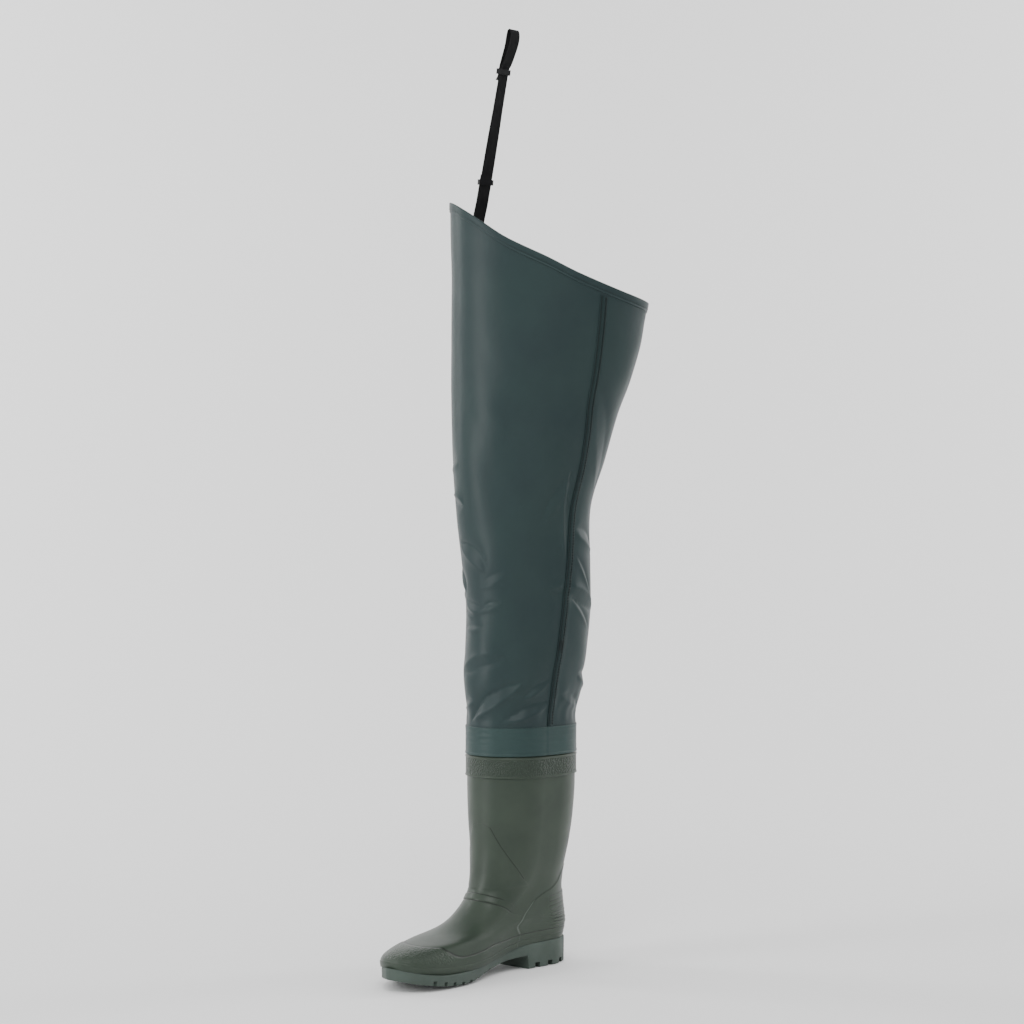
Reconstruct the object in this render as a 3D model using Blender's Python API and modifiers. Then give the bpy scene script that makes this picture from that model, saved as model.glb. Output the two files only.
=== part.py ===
"""Hip wader for the right leg: a moulded boot, a coated-cloth leg welded to its neck, and a belt strap.

The toe points to +X, the inner side of the leg is +Y, and +Z is up. The origin is the middle of the
heel's second lug. Sizes are in millimetres, and stations run forward from the back of the heel.
"""

import math
from collections import namedtuple

import bmesh
import bpy
import numpy as np
from mathutils import Vector

MM = 0.001
ORIGIN_STATION = 35.0
CLEARANCE = 0.3

# The outsole.
SOLE_LENGTH = 305.0
HEEL_CHANNELS = (68.0, 46.0, 24.0)
HEEL_CHANNEL_WIDTH = 8.0
HEEL_CHANNEL_DEPTH = 7.0
TREAD_FIRST = 168.0
TREAD_PITCH = 15.5
TREAD_ROWS = 8
TREAD_WIDTH = 5.0
TREAD_DEPTH = 6.0
TREAD_SWEEP = 11.0

# The walls and the layers of cloth.
BOOT_WALL = 2.4
CLOTH = 0.5
TAPE = 0.6
INSOLE_THICKNESS = 3.0
INSOLE_GAP = 0.7
SEAM_WIDTH = 9.0
SEAM_THICKNESS = 0.8
SEAM_GAP = 0.5
HEM_HEIGHT = 12.0

# How many points run round each side of the boot.
NOSE_POINTS = 7
SIDE_POINTS = 5
REAR_POINTS = 7

# Half widths of the outsole, to the inner and the outer side of the foot's line.
SoleRow = namedtuple("SoleRow", "station inner outer")
SOLE_OUTLINE = [
    SoleRow(0.0, 0.0, 0.0),
    SoleRow(3.0, 14.5, 14.5),
    SoleRow(12.0, 26.5, 27.0),
    SoleRow(38.0, 35.5, 36.5),
    SoleRow(78.0, 33.5, 36.5),
    SoleRow(115.0, 30.0, 38.0),
    SoleRow(155.0, 36.5, 43.5),
    SoleRow(185.0, 45.5, 50.0),
    SoleRow(214.0, 51.0, 53.5),
    SoleRow(250.0, 52.0, 46.0),
    SoleRow(265.0, 49.5, 38.5),
    SoleRow(276.0, 45.5, 30.3),
    SoleRow(285.0, 40.0, 22.0),
    SoleRow(294.0, 32.0, 12.0),
    SoleRow(301.0, 22.0, 0.0),
    SoleRow(305.0, 12.0, -8.0),
]

# Heights of the outsole's top face and of the middle and the edges of its underside.
ProfileRow = namedtuple("ProfileRow", "station top bottom crown")
SOLE_PROFILE = [
    ProfileRow(0.0, 33.0, 1.6, 0.6),
    ProfileRow(5.0, 33.0, 0.0, 0.6),
    ProfileRow(62.0, 32.2, 0.0, 0.6),
    ProfileRow(83.0, 31.5, 0.0, 0.6),
    ProfileRow(85.0, 31.3, 16.5, 0.6),
    ProfileRow(92.0, 31.0, 16.0, 1.0),
    ProfileRow(116.0, 28.0, 14.2, 1.5),
    ProfileRow(143.0, 22.3, 10.0, 2.5),
    ProfileRow(172.0, 18.6, 4.6, 3.0),
    ProfileRow(190.0, 17.5, 1.2, 3.0),
    ProfileRow(199.0, 17.3, 0.0, 3.0),
    ProfileRow(226.0, 17.4, 0.0, 3.0),
    ProfileRow(245.0, 18.2, 1.9, 3.0),
    ProfileRow(273.0, 22.0, 7.0, 2.2),
    ProfileRow(292.0, 26.5, 12.3, 1.2),
    ProfileRow(305.0, 30.0, 16.0, 0.8),
]

# The boot upper, ring by ring from the feather edge to the top of the neck. Each ring is a closed
# curve: a rounded nose from the front to the ball, a side with a dip, and a rounded rear. The first
# ring's heights come from the outsole. power says how full the rounded parts are, 2 for an ellipse.
BootRing = namedtuple(
    "BootRing",
    "name front front_z back back_z ball ball_in ball_out heel heel_in heel_out"
    " dip_in dip_out toe_in sag power",
)
BOOT_RINGS = [
    BootRing("feather", 300.5, 0, 3.5, 0, 214, 48.0, 51.0, 42, 33.5, 34.5, 7.0, 2.0, 12.5, 1.0, 2.2),
    BootRing("welt", 301.5, 36, 1.0, 38.5, 212, 49.0, 52.0, 42, 34.5, 35.5, 7.0, 2.0, 12.5, 1.0, 2.2),
    BootRing("rand", 296.5, 42.5, -0.5, 45, 207, 48.5, 51.0, 42, 35.5, 36.5, 6.0, 1.5, 12.0, 0.9, 2.2),
    BootRing("toe_edge", 279.5, 48.0, -1.5, 51.5, 196, 46.0, 48.5, 43, 36.0, 37.0, 5.0, 1.0, 10.5, 0.7, 2.15),
    BootRing("toe_top", 256.5, 50.8, -2.0, 58, 184, 43.5, 45.5, 45, 36.0, 37.0, 3.0, 0, 8.5, 0.5, 2.1),
    BootRing("vamp_low", 234.5, 52.8, -2.0, 64.5, 171, 41.0, 42.5, 48, 36.5, 37.5, 1.5, 0, 6.5, 0.3, 2.0),
    BootRing("vamp", 207.5, 57.2, -1.0, 72, 155, 38.5, 39.5, 51, 37.0, 38.0, 0, 0, 4.5, 0.2, 2.0),
    BootRing("vamp_high", 185.5, 65.5, 0.5, 81, 137, 36.5, 37.5, 54, 37.5, 38.5, 0, 0, 3.0, 0.1, 2.0),
    BootRing("instep_low", 168.0, 78.0, 2.5, 91.5, 118, 36.0, 36.5, 55, 38.5, 39.0, 0, 0, 1.5, 0, 2.0),
    BootRing("instep", 154.0, 91.0, 4.0, 103, 102, 37.5, 38.0, 56, 40.0, 40.5, 0, 0, 0.5, 0, 2.0),
    BootRing("throat", 143.5, 108.0, 4.0, 117, 89, 41.0, 41.5, 55, 42.5, 43.0, 0, 0, 0, 0, 2.0),
    BootRing("ankle", 138.5, 130.0, 1.5, 134, 84, 46.0, 46.5, 53, 46.5, 47.0, 0, 0, 0, 0, 2.0),
    BootRing("shin", 137.0, 160, -4.0, 160, 81, 50.5, 51.0, 51, 51.0, 51.5, 0, 0, 0, 0, 2.0),
    BootRing("calf", 138.5, 195, -9.5, 195, 80, 54.0, 54.5, 49, 54.5, 55.0, 0, 0, 0, 0, 2.0),
    BootRing("collar", 139.0, 238, -12.5, 238, 79, 56.0, 56.5, 48, 56.5, 57.0, 0, 0, 0, 0, 2.0),
    BootRing("neck", 139.0, 307, -12.5, 307, 79, 56.5, 57.0, 48, 57.0, 57.5, 0, 0, 0, 0, 2.0),
]
COLLAR_RING = 14
NECK_RING = 15

# The collar band, a raised step of the boot's wall between two thin beads.
BAND_LOW = 244.5
BAND_HIGH = 270.5
BAND_RISE = 1.6
BEAD = 2.5
BEAD_RISE = 2.4

# The moulded relief on the boot. Each row gives where along the rings it lies, and the turns between
# which it runs on the inner side; the outer side mirrors it.
RELIEF_RISE = 0.8
RELIEF_SINK = 1.0
ReliefRow = namedtuple("ReliefRow", "place start end")
SHIN_PANEL = [
    ReliefRow(9.75, 0.0, 0.185),
    ReliefRow(10.3, 0.0, 0.155),
    ReliefRow(11.0, 0.0, 0.122),
    ReliefRow(11.5, 0.0, 0.094),
    ReliefRow(12.0, 0.0, 0.066),
    ReliefRow(12.45, 0.0, 0.045),
    ReliefRow(12.7, 0.0, 0.033),
    ReliefRow(12.82, 0.0, 0.018),
]
HEEL_COUNTER = [
    ReliefRow(2.5, 0.264, 0.5),
    ReliefRow(4.9, 0.254, 0.5),
    ReliefRow(6.6, 0.254, 0.5),
    ReliefRow(8.1, 0.262, 0.5),
    ReliefRow(8.7, 0.290, 0.5),
    ReliefRow(9.0, 0.325, 0.5),
    ReliefRow(9.5, 0.356, 0.5),
    ReliefRow(10.4, 0.385, 0.5),
    ReliefRow(10.8, 0.440, 0.5),
]
INSTEP_BAND = [
    ReliefRow(9.12, 0.0, 0.12),
    ReliefRow(9.60, 0.0, 0.12),
]
INSTEP_BAND_DIP = 40.0
HEEL_RIBS = (3.2, 4.3, 5.3, 6.2, 7.0, 7.8)
RIB_HALF_PLACE = 0.18
RIB_RISE = 1.7
RIB_START = 0.30

# The top edge of the raised rand that runs round the boot over the outsole, by turn from the toe.
RandRow = namedtuple("RandRow", "turn place")
RAND_EDGE = [
    RandRow(0.0, 3.9),
    RandRow(0.086, 3.8),
    RandRow(0.122, 3.2),
    RandRow(0.152, 2.6),
    RandRow(0.176, 2.3),
    RandRow(0.206, 2.5),
    RandRow(0.224, 2.7),
    RandRow(0.254, 2.4),
    RandRow(0.5, 2.2),
]
RAND_RISE = 0.7
RAND_STEP = 0.08
RAND_ROOF = 7

# The cloth leg, by height. Its long axis turns from the foot's line to the line of the hips, and the
# slant of the hem grows towards the top.
LEG_BOTTOM = 272.1
NECK_TOP = 308.0
ELLIPSE_FROM = 348.0
LegRow = namedtuple("LegRow", "height along across half_long half_short turn slant")
LEG_ROWS = [
    LegRow(272.0, 62.5, 0.0, 76.0, 58.0, 0.0, 0.0),
    LegRow(308.0, 62.5, 0.0, 76.0, 58.0, 0.0, 0.0),
    LegRow(340.0, 62.1, 1.0, 79.0, 61.0, -8.0, 0.0),
    LegRow(377.0, 60.9, 2.3, 81.4, 64.0, -15.0, 0.0),
    LegRow(402.0, 59.4, 3.9, 80.7, 65.5, -20.0, 0.0),
    LegRow(464.0, 57.5, 5.8, 81.2, 68.0, -29.0, 0.0),
    LegRow(514.0, 58.6, 4.7, 82.9, 70.0, -35.0, 0.0),
    LegRow(577.0, 60.9, 2.3, 85.8, 72.0, -40.0, 0.0),
    LegRow(650.0, 56.6, 6.9, 98.0, 75.0, -44.0, 0.05),
    LegRow(715.0, 51.4, 12.4, 106.6, 77.0, -46.0, 0.2),
    LegRow(777.0, 46.0, 18.3, 115.0, 79.5, -47.0, 0.45),
    LegRow(840.0, 41.9, 22.7, 121.5, 81.5, -47.0, 0.7),
    LegRow(910.0, 38.8, 26.0, 127.0, 83.0, -47.0, 1.0),
]
LEG_RINGS = (272.1, 308, 320, 340, 377, 420, 464, 514, 560, 610, 660, 715, 777, 845, 910)

# How far the hem rises over or falls below its middle, along the leg's long axis from back to front.
HemRow = namedtuple("HemRow", "reach rise")
HEM_LINE = [
    HemRow(-1.0, -64.0),
    HemRow(-0.7, -52.0),
    HemRow(-0.3, -32.0),
    HemRow(0.0, -13.0),
    HemRow(0.42, 13.0),
    HemRow(0.715, 39.0),
    HemRow(1.0, 65.0),
]

# The bearings of the leg's two seams, by height, from the front and positive to the inner side.
SeamRow = namedtuple("SeamRow", "height inner outer")
SEAM_ROWS = [
    SeamRow(300.0, 82.0, -95.0),
    SeamRow(344.0, 82.5, -95.5),
    SeamRow(406.0, 84.5, -96.0),
    SeamRow(469.0, 87.0, -96.5),
    SeamRow(519.0, 91.5, -97.0),
    SeamRow(575.0, 95.5, -97.5),
    SeamRow(626.0, 97.5, -98.0),
    SeamRow(669.0, 96.5, -98.5),
    SeamRow(740.0, 92.0, -99.0),
    SeamRow(910.0, 88.0, -100.0),
]

# The strap.
STRAP_WIDTH = 16.0
STRAP_THICKNESS = 1.4
STRAP_BEARING = -76.0
STRAP_SEWN_FROM = 868.0
STRAP_SEWN_TO = 903.0
STRAP_TOP = (50.5, -30.5, 1205.0)
LAYER_SPACING = 2.0
LOWER_SLIDER = 1008.0
UPPER_SLIDER = 1149.5
SLIDER_HEIGHT = 7.0
SLIDER_WALL = 1.1
SLIDER_PLAY = 0.8

# The heights of the strap's straight rows.
STRAP_HEIGHTS = (985.0, 1018.0, 1040.0, 1070.0, 1100.0, 1136.0, 1150.0)

# How far the strap's width is turned from the foot's line, by height.
StrapRow = namedtuple("StrapRow", "height turn")
STRAP_TURNS = [
    StrapRow(920.0, -8.0),
    StrapRow(985.0, -20.0),
    StrapRow(1018.0, -20.0),
    StrapRow(1070.0, -12.0),
    StrapRow(1100.0, -3.0),
    StrapRow(1134.0, 0.0),
    StrapRow(1205.0, 0.0),
]

# The belt loop's path from the upper slider and back.
LoopRow = namedtuple("LoopRow", "out height")
LOOP_PATH = [
    LoopRow(-0.3, 1154.5),
    LoopRow(-2.6, 1158.5),
    LoopRow(-4.8, 1165.0),
    LoopRow(-7.0, 1173.5),
    LoopRow(-9.0, 1182.0),
    LoopRow(-9.9, 1190.0),
    LoopRow(-9.4, 1196.5),
    LoopRow(-7.6, 1201.0),
    LoopRow(-5.0, 1203.4),
    LoopRow(-2.8, 1202.2),
    LoopRow(-1.9, 1197.0),
    LoopRow(-1.9, 1190.0),
    LoopRow(-1.6, 1181.0),
    LoopRow(-0.2, 1171.0),
    LoopRow(1.4, 1160.0),
    LoopRow(2.0, 1153.5),
    LoopRow(2.0, 1145.0),
    LoopRow(2.8, 1141.5),
    LoopRow(4.8, 1138.5),
]


def smooth(stations, values, at):
    """A monotone cubic curve through (stations, values), read at one place."""
    xs = np.asarray(stations, float)
    ys = np.asarray(values, float)
    steps = np.diff(xs)
    slopes = np.diff(ys) / steps
    tangents = np.zeros(len(xs))
    tangents[0] = slopes[0]
    tangents[-1] = slopes[-1]
    for i in range(1, len(xs) - 1):
        if slopes[i - 1] * slopes[i] > 0:
            before = steps[i - 1] + 2 * steps[i]
            after = 2 * steps[i - 1] + steps[i]
            tangents[i] = (before + after) / (before / slopes[i] + after / slopes[i - 1])
    at = min(max(at, xs[0]), xs[-1])
    i = min(int(np.searchsorted(xs, at, side="right")) - 1, len(steps) - 1)
    t = (at - xs[i]) / steps[i]
    return float(
        (1 + 2 * t) * (1 - t) ** 2 * ys[i]
        + t * (1 - t) ** 2 * steps[i] * tangents[i]
        + t * t * (3 - 2 * t) * ys[i + 1]
        + t * t * (t - 1) * steps[i] * tangents[i + 1]
    )


def read_table(rows, name, at):
    """One column of a table of rows, read at a place in its first column."""
    return smooth([row[0] for row in rows], [getattr(row, name) for row in rows], at)


def sole_top(station):
    return read_table(SOLE_PROFILE, "top", station)


def sole_bottom(station):
    return read_table(SOLE_PROFILE, "bottom", station)


def placed(station, across, height):
    """A point given by its station, its distance to the inner side and its height, in metres."""
    return Vector(((station - ORIGIN_STATION) * MM, across * MM, height * MM))


def seat_first_ring():
    """The feather ring with its ends just over the outsole's top face."""
    feather = BOOT_RINGS[0]
    return feather._replace(
        front_z=sole_top(feather.front) + CLEARANCE, back_z=sole_top(feather.back) + CLEARANCE
    )


BOOT_RINGS[0] = seat_first_ring()


def boot_ring(place):
    """The boot's ring at a place between the rows of BOOT_RINGS, such as 3.5."""
    if place == int(place):
        return BOOT_RINGS[int(place)]
    count = range(len(BOOT_RINGS))
    columns = list(zip(*BOOT_RINGS))[1:]
    return BootRing("between", *[smooth(count, values, place) for values in columns])


def half_contour(ring, share, inner):
    """A ring's station, half width and nose shift on one side. share is 0 in front and 1 behind."""
    ball_width = ring.ball_in if inner else ring.ball_out
    heel_width = ring.heel_in if inner else ring.heel_out
    dip = ring.dip_in if inner else ring.dip_out
    total = NOSE_POINTS + SIDE_POINTS + REAR_POINTS
    nose_share = NOSE_POINTS / total
    rear_share = REAR_POINTS / total
    if share < nose_share:
        turn = share / nose_share * math.pi / 2
        along = math.cos(turn) ** (2 / ring.power)
        across = math.sin(turn) ** (2 / ring.power)
        station = ring.ball + (ring.front - ring.ball) * along
        return station, ball_width * across, ring.toe_in * along * along
    if share <= 1 - rear_share:
        t = (share - nose_share) / (1 - rear_share - nose_share)
        ease = (1 - math.cos(math.pi * t)) / 2
        width = ball_width + (heel_width - ball_width) * ease - dip * math.sin(math.pi * t) ** 2
        return ring.ball + (ring.heel - ring.ball) * t, width, 0.0
    turn = (share - 1 + rear_share) / rear_share * math.pi / 2
    across = max(math.cos(turn), 0.0) ** (2 / ring.power)
    along = math.sin(turn) ** (2 / ring.power)
    return ring.heel - (ring.heel - ring.back) * along, heel_width * across, 0.0


def boot_point(place, turn):
    """A point of the boot's outside. turn is 0 in front, 0.25 on the inner side and 0.5 behind."""
    ring = boot_ring(place)
    turn = turn % 1.0
    inner = turn <= 0.5
    station, width, shift = half_contour(ring, 2 * turn if inner else 2 - 2 * turn, inner)
    f = (station - ring.back) / (ring.front - ring.back)
    chord = ring.back_z + (ring.front_z - ring.back_z) * f
    bed = sole_top(station) - (sole_top(ring.back) * (1 - f) + sole_top(ring.front) * f)
    return station, (width if inner else -width) + shift, chord + ring.sag * bed


def boot_outward(place, turn):
    """The direction straight out of the boot's outside."""
    step = 0.01
    above = Vector(boot_point(min(place + step, NECK_RING), turn))
    below = Vector(boot_point(max(place - step, 0), turn))
    ahead = Vector(boot_point(place, turn + step))
    behind = Vector(boot_point(place, turn - step))
    return (ahead - behind).cross(above - below).normalized()


def boot_surface(place, turn, rise=0.0):
    """A point of the boot's outside, raised from it by a distance, in metres."""
    point = Vector(boot_point(place, turn))
    if rise:
        point += boot_outward(place, turn) * rise
    return placed(*point)


def place_at_height(height):
    """The place between the collar's ring and the neck's ring that lies at this height."""
    low = BOOT_RINGS[COLLAR_RING].front_z
    high = BOOT_RINGS[NECK_RING].front_z
    return COLLAR_RING + (height - low) / (high - low)


def ring_turns():
    """The turns at which a boot ring's points lie, counted once round."""
    half = NOSE_POINTS + SIDE_POINTS + REAR_POINTS
    return [i / (2 * half) for i in range(2 * half)]


def neck_table():
    """Bearings and radii of the boot's neck, seen from the bottom of the leg's middle line."""
    base = LEG_ROWS[0]
    found = []
    for i in range(380):
        station, across, _ = boot_point(NECK_RING, i / 380)
        bearing = math.degrees(math.atan2(across - base.across, station - base.along))
        found.append((bearing, math.hypot(station - base.along, across - base.across)))
    found.sort()
    return np.array(found)


NECK_TABLE = neck_table()


def neck_bearings():
    """The bearings of the boot neck's own points, so that the cloth's facets lie on the neck's."""
    base = LEG_ROWS[0]
    points = [boot_point(NECK_RING, turn) for turn in ring_turns()]
    return [math.degrees(math.atan2(p[1] - base.across, p[0] - base.along)) for p in points]


def leg_surface(height, bearing, rise=0.0):
    """A point of the leg's outside, raised by a distance, in metres. bearing is in degrees."""
    row = LegRow(*[read_table(LEG_ROWS, name, height) for name in LegRow._fields])
    around = math.radians(bearing - row.turn)
    radius = row.half_long * row.half_short / math.hypot(
        row.half_short * math.cos(around), row.half_long * math.sin(around)
    )
    blend = min(max((height - NECK_TOP) / (ELLIPSE_FROM - NECK_TOP), 0.0), 1.0)
    blend = blend * blend * (3 - 2 * blend)
    neck = np.interp(bearing, NECK_TABLE[:, 0], NECK_TABLE[:, 1], period=360)
    neck += CLEARANCE + CLOTH
    radius = neck + (radius - neck) * blend
    reach = radius * math.cos(around) / row.half_long
    slant = row.slant * read_table(HEM_LINE, "rise", min(max(reach, -1.0), 1.0))
    direction = math.radians(bearing)
    return placed(
        row.along + (radius + rise) * math.cos(direction),
        row.across + (radius + rise) * math.sin(direction),
        height + slant,
    )


def material(name, colour, roughness):
    made = bpy.data.materials.new(name)
    made.use_nodes = True
    shader = made.node_tree.nodes["Principled BSDF"]
    shader.inputs["Base Color"].default_value = (*colour, 1.0)
    shader.inputs["Roughness"].default_value = roughness
    return made


def new_object(name, mesh, finish, collection, shaded=True):
    made = bpy.data.objects.new(name, mesh)
    if finish:
        made.data.materials.append(finish)
    if shaded:
        mesh.polygons.foreach_set("use_smooth", [True] * len(mesh.polygons))
    collection.objects.link(made)
    return made


def new_cutter(name, mesh, collection):
    made = new_object(name, mesh, None, collection, shaded=False)
    made.hide_render = True
    made.display_type = "WIRE"
    return made


def combine(target, other, operation):
    step = target.modifiers.new(f"{operation.title()} {other.name}", "BOOLEAN")
    step.operation = operation
    step.solver = "EXACT"
    step.object = other


def loft(name, rows, closed=True, caps=False):
    """A mesh lofted through rows of points, each row closed into a ring or left as an open strip."""
    shape = bmesh.new()
    grid = [[shape.verts.new(point) for point in row] for row in rows]
    count = len(rows[0])
    for low, high in zip(grid, grid[1:]):
        for i in range(count if closed else count - 1):
            j = (i + 1) % count
            shape.faces.new((low[i], low[j], high[j], high[i]))
    if caps:
        shape.faces.new(list(reversed(grid[0])))
        shape.faces.new(grid[-1])
    bmesh.ops.recalc_face_normals(shape, faces=shape.faces)
    mesh = bpy.data.meshes.new(name)
    shape.to_mesh(mesh)
    shape.free()
    return mesh


def prism(name, outline, low, high):
    """An upright prism over an outline of (station, across) points."""
    floor = [placed(station, across, low) for station, across in outline]
    roof = [placed(station, across, high) for station, across in outline]
    return loft(name, [floor, roof], caps=True)


def thicken(target, thickness, offset):
    wall = target.modifiers.new("Wall", "SOLIDIFY")
    wall.thickness = thickness * MM
    wall.offset = offset
    wall.use_even_offset = True
    wall.use_quality_normals = True


def build_outsole(finish, parts, cutters):
    """The outsole lofted from heel to toe, with its heel channels and its forefoot tread cut in."""
    stations = [12 * (1 - math.cos(i * math.pi / 8)) for i in range(4)]
    stations += [14, 24, 38, 54, 70, 83, 85, 100, 116, 130, 144, 158, 172, 186, 199, 213, 226, 238]
    stations += [SOLE_LENGTH - 55 * math.cos(i * math.pi / 16) for i in range(8)]
    stations[0] = 0.5
    stations.append(SOLE_LENGTH - 0.4)
    rows = []
    for station in stations:
        inner = read_table(SOLE_OUTLINE, "inner", station)
        outer = -read_table(SOLE_OUTLINE, "outer", station)
        middle = (inner + outer) / 2
        top = sole_top(station)
        bottom = sole_bottom(station)
        edge = bottom + read_table(SOLE_PROFILE, "crown", station)
        section = [
            (outer + 0.8, top),
            (outer, top - 1.2),
            (outer + 0.6, edge + 1.0),
            (outer + 1.6, edge),
            (outer + 0.4 * (middle - outer), bottom),
            (inner - 0.4 * (inner - middle), bottom),
            (inner - 1.6, edge),
            (inner - 0.6, edge + 1.0),
            (inner, top - 1.2),
            (inner - 0.8, top),
        ]
        rows.append([placed(station, across, height) for across, height in section])
    sole = new_object("outsole", loft("outsole", rows, caps=True), finish, parts, shaded=False)

    for station in HEEL_CHANNELS:
        half = HEEL_CHANNEL_WIDTH / 2
        corners = [(station - half, -60), (station + half, -60), (station + half, 60), (station - half, 60)]
        mesh = prism("heel_channel", corners, -5.0, HEEL_CHANNEL_DEPTH)
        combine(sole, new_cutter("heel_channel", mesh, cutters), "DIFFERENCE")
    for i in range(TREAD_ROWS):
        front = TREAD_FIRST + TREAD_PITCH * i
        back = front - TREAD_WIDTH
        swept = TREAD_SWEEP * 60 / 50
        outline = [
            (front, 0), (front - swept, 60), (back - swept, 60),
            (back, 0), (back - swept, -60), (front - swept, -60),
        ]
        roof = sole_bottom((front + back) / 2) + TREAD_DEPTH
        mesh = prism("tread_channel", outline, -8.0, roof)
        combine(sole, new_cutter("tread_channel", mesh, cutters), "DIFFERENCE")
    return sole


def relief_mesh(name, patches):
    """Closed patches on the boot's outside. Each is a grid of (place, turn), a rise and a sink."""
    shape = bmesh.new()
    for rows, rise, sink in patches:
        skins = [
            [[shape.verts.new(boot_surface(*spot, offset)) for spot in row] for row in rows]
            for offset in (rise, -sink)
        ]
        for skin in skins:
            for low, high in zip(skin, skin[1:]):
                for i in range(len(low) - 1):
                    shape.faces.new((low[i], low[i + 1], high[i + 1], high[i]))
        outer, inner = skins
        for edge in (0, -1):
            for i in range(len(rows[0]) - 1):
                j = i + 1
                shape.faces.new((outer[edge][i], outer[edge][j], inner[edge][j], inner[edge][i]))
            for low in range(len(rows) - 1):
                high = low + 1
                shape.faces.new((outer[low][edge], outer[high][edge], inner[high][edge], inner[low][edge]))
    bmesh.ops.recalc_face_normals(shape, faces=shape.faces)
    mesh = bpy.data.meshes.new(name)
    shape.to_mesh(mesh)
    shape.free()
    return mesh


def mirrored_rows(table, columns, dip=0.0):
    """A grid of (place, turn) that spans a relief table's rows on both sides of the boot."""
    grid = []
    for row in table:
        line = []
        for i in range(columns):
            t = 2 * i / (columns - 1) - 1
            turn = 0.5 + t * (0.5 - row.start) if row.start else t * row.end
            line.append((row.place - dip * turn * turn, turn))
        grid.append(line)
    return grid


def boot_relief():
    """The patches of the boot's plates and those of its ribs."""
    plates = [
        (mirrored_rows(SHIN_PANEL, 9), RELIEF_RISE, RELIEF_SINK),
        (mirrored_rows(HEEL_COUNTER, 13), RELIEF_RISE, RELIEF_SINK),
        (mirrored_rows(INSTEP_BAND, 9, INSTEP_BAND_DIP), RELIEF_RISE, RELIEF_SINK),
    ]
    ribs = []
    for place in HEEL_RIBS:
        half = RIB_HALF_PLACE
        rib = [ReliefRow(place - half, RIB_START, 0.5), ReliefRow(place + half, RIB_START, 0.5)]
        ribs.append((mirrored_rows(rib, 11), RIB_RISE, 0.2))
    return plates, ribs


def rand_edge(turn):
    return read_table(RAND_EDGE, "place", min(turn, 1 - turn))


def lower_boot_rows(turns):
    """The rows from the feather edge over the raised rand to the ring above the vamp."""
    rows = [[boot_surface(0, turn) for turn in turns]]
    rows.append([boot_surface(1, turn, RAND_RISE) for turn in turns])
    for share in (0.5, 1.0):
        rows.append([boot_surface(1 + (rand_edge(turn) - 1) * share, turn, RAND_RISE) for turn in turns])
    for i in range(5):
        row = []
        for turn in turns:
            foot = rand_edge(turn) + RAND_STEP
            row.append(boot_surface(foot + (RAND_ROOF - foot) * i / 5, turn))
        rows.append(row)
    return rows


def build_boot_upper(finish, parts, cutters):
    turns = ring_turns()
    rows = lower_boot_rows(turns)
    rows += [[boot_surface(place, turn) for turn in turns] for place in range(RAND_ROOF, COLLAR_RING)]
    steps = [
        (BAND_LOW - 1.0, 0.0),
        (BAND_LOW, BEAD_RISE),
        (BAND_LOW + BEAD, BEAD_RISE),
        (BAND_LOW + BEAD + 0.6, BAND_RISE),
        (BAND_HIGH - BEAD - 0.6, BAND_RISE),
        (BAND_HIGH - BEAD, BEAD_RISE),
        (BAND_HIGH, BEAD_RISE),
        (BAND_HIGH + 1.0, 0.0),
        (BOOT_RINGS[NECK_RING].front_z, 0.0),
    ]
    for height, rise in steps:
        rows.append([boot_surface(place_at_height(height), turn, rise) for turn in turns])
    upper = new_object("boot_upper", loft("boot_upper", rows), finish, parts)
    thicken(upper, BOOT_WALL, -1.0)
    for name, patches in zip(("boot_plates", "boot_ribs"), boot_relief()):
        combine(upper, new_cutter(name, relief_mesh(name, patches), cutters), "UNION")
    return upper


def build_insole(finish, parts):
    """A loose insole that lies just over the outsole, inside the upper's wall."""
    feather = BOOT_RINGS[0]
    margin = BOOT_WALL + 1.2
    rows = []
    for i in range(21):
        share = 0.035 + 0.93 * i / 20
        station, inner, shift = half_contour(feather, share, True)
        _, outer, _ = half_contour(feather, share, False)
        middle = (feather.front + feather.back) / 2
        station = middle + (station - middle) * (1 - 2 * margin / (feather.front - feather.back))
        low = sole_top(station) + INSOLE_GAP
        high = low + INSOLE_THICKNESS
        inner_edge = inner - margin + shift
        outer_edge = margin - outer + shift
        rows.append(
            [
                placed(station, outer_edge, low),
                placed(station, outer_edge, high),
                placed(station, inner_edge, high),
                placed(station, inner_edge, low),
            ]
        )
    return new_object("insole", loft("insole", rows, caps=True), finish, parts, shaded=False)


def build_leg(finish, parts):
    bearings = neck_bearings()
    rows = [[leg_surface(height, bearing) for bearing in bearings] for height in LEG_RINGS]
    leg = new_object("leg", loft("leg", rows), finish, parts)
    thicken(leg, CLOTH, -1.0)
    return leg


def build_leg_cuff(finish, parts):
    """The tape that closes the cloth onto the boot's neck."""
    bearings = neck_bearings()
    rows = [
        [leg_surface(height, bearing, CLEARANCE) for bearing in bearings]
        for height in (LEG_BOTTOM, 286.0, NECK_TOP)
    ]
    cuff = new_object("leg_cuff", loft("leg_cuff", rows), finish, parts)
    thicken(cuff, TAPE, 1.0)
    return cuff


def hem_band_height(bearing, drop):
    """The leg height that lies a vertical drop below the top edge at a bearing."""
    top = leg_surface(LEG_RINGS[-1], bearing).z
    below = leg_surface(LEG_RINGS[-2], bearing).z
    return LEG_RINGS[-1] - drop * MM / (top - below) * (LEG_RINGS[-1] - LEG_RINGS[-2])


def build_top_hem(finish, parts):
    """The folded hem, outside the leg's slanted top edge."""
    bearings = neck_bearings()
    rows = [
        [leg_surface(hem_band_height(bearing, drop), bearing, CLEARANCE) for bearing in bearings]
        for drop in (HEM_HEIGHT, 0.0)
    ]
    hem = new_object("top_hem", loft("top_hem", rows), finish, parts)
    thicken(hem, TAPE, 1.0)
    return hem


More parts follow.
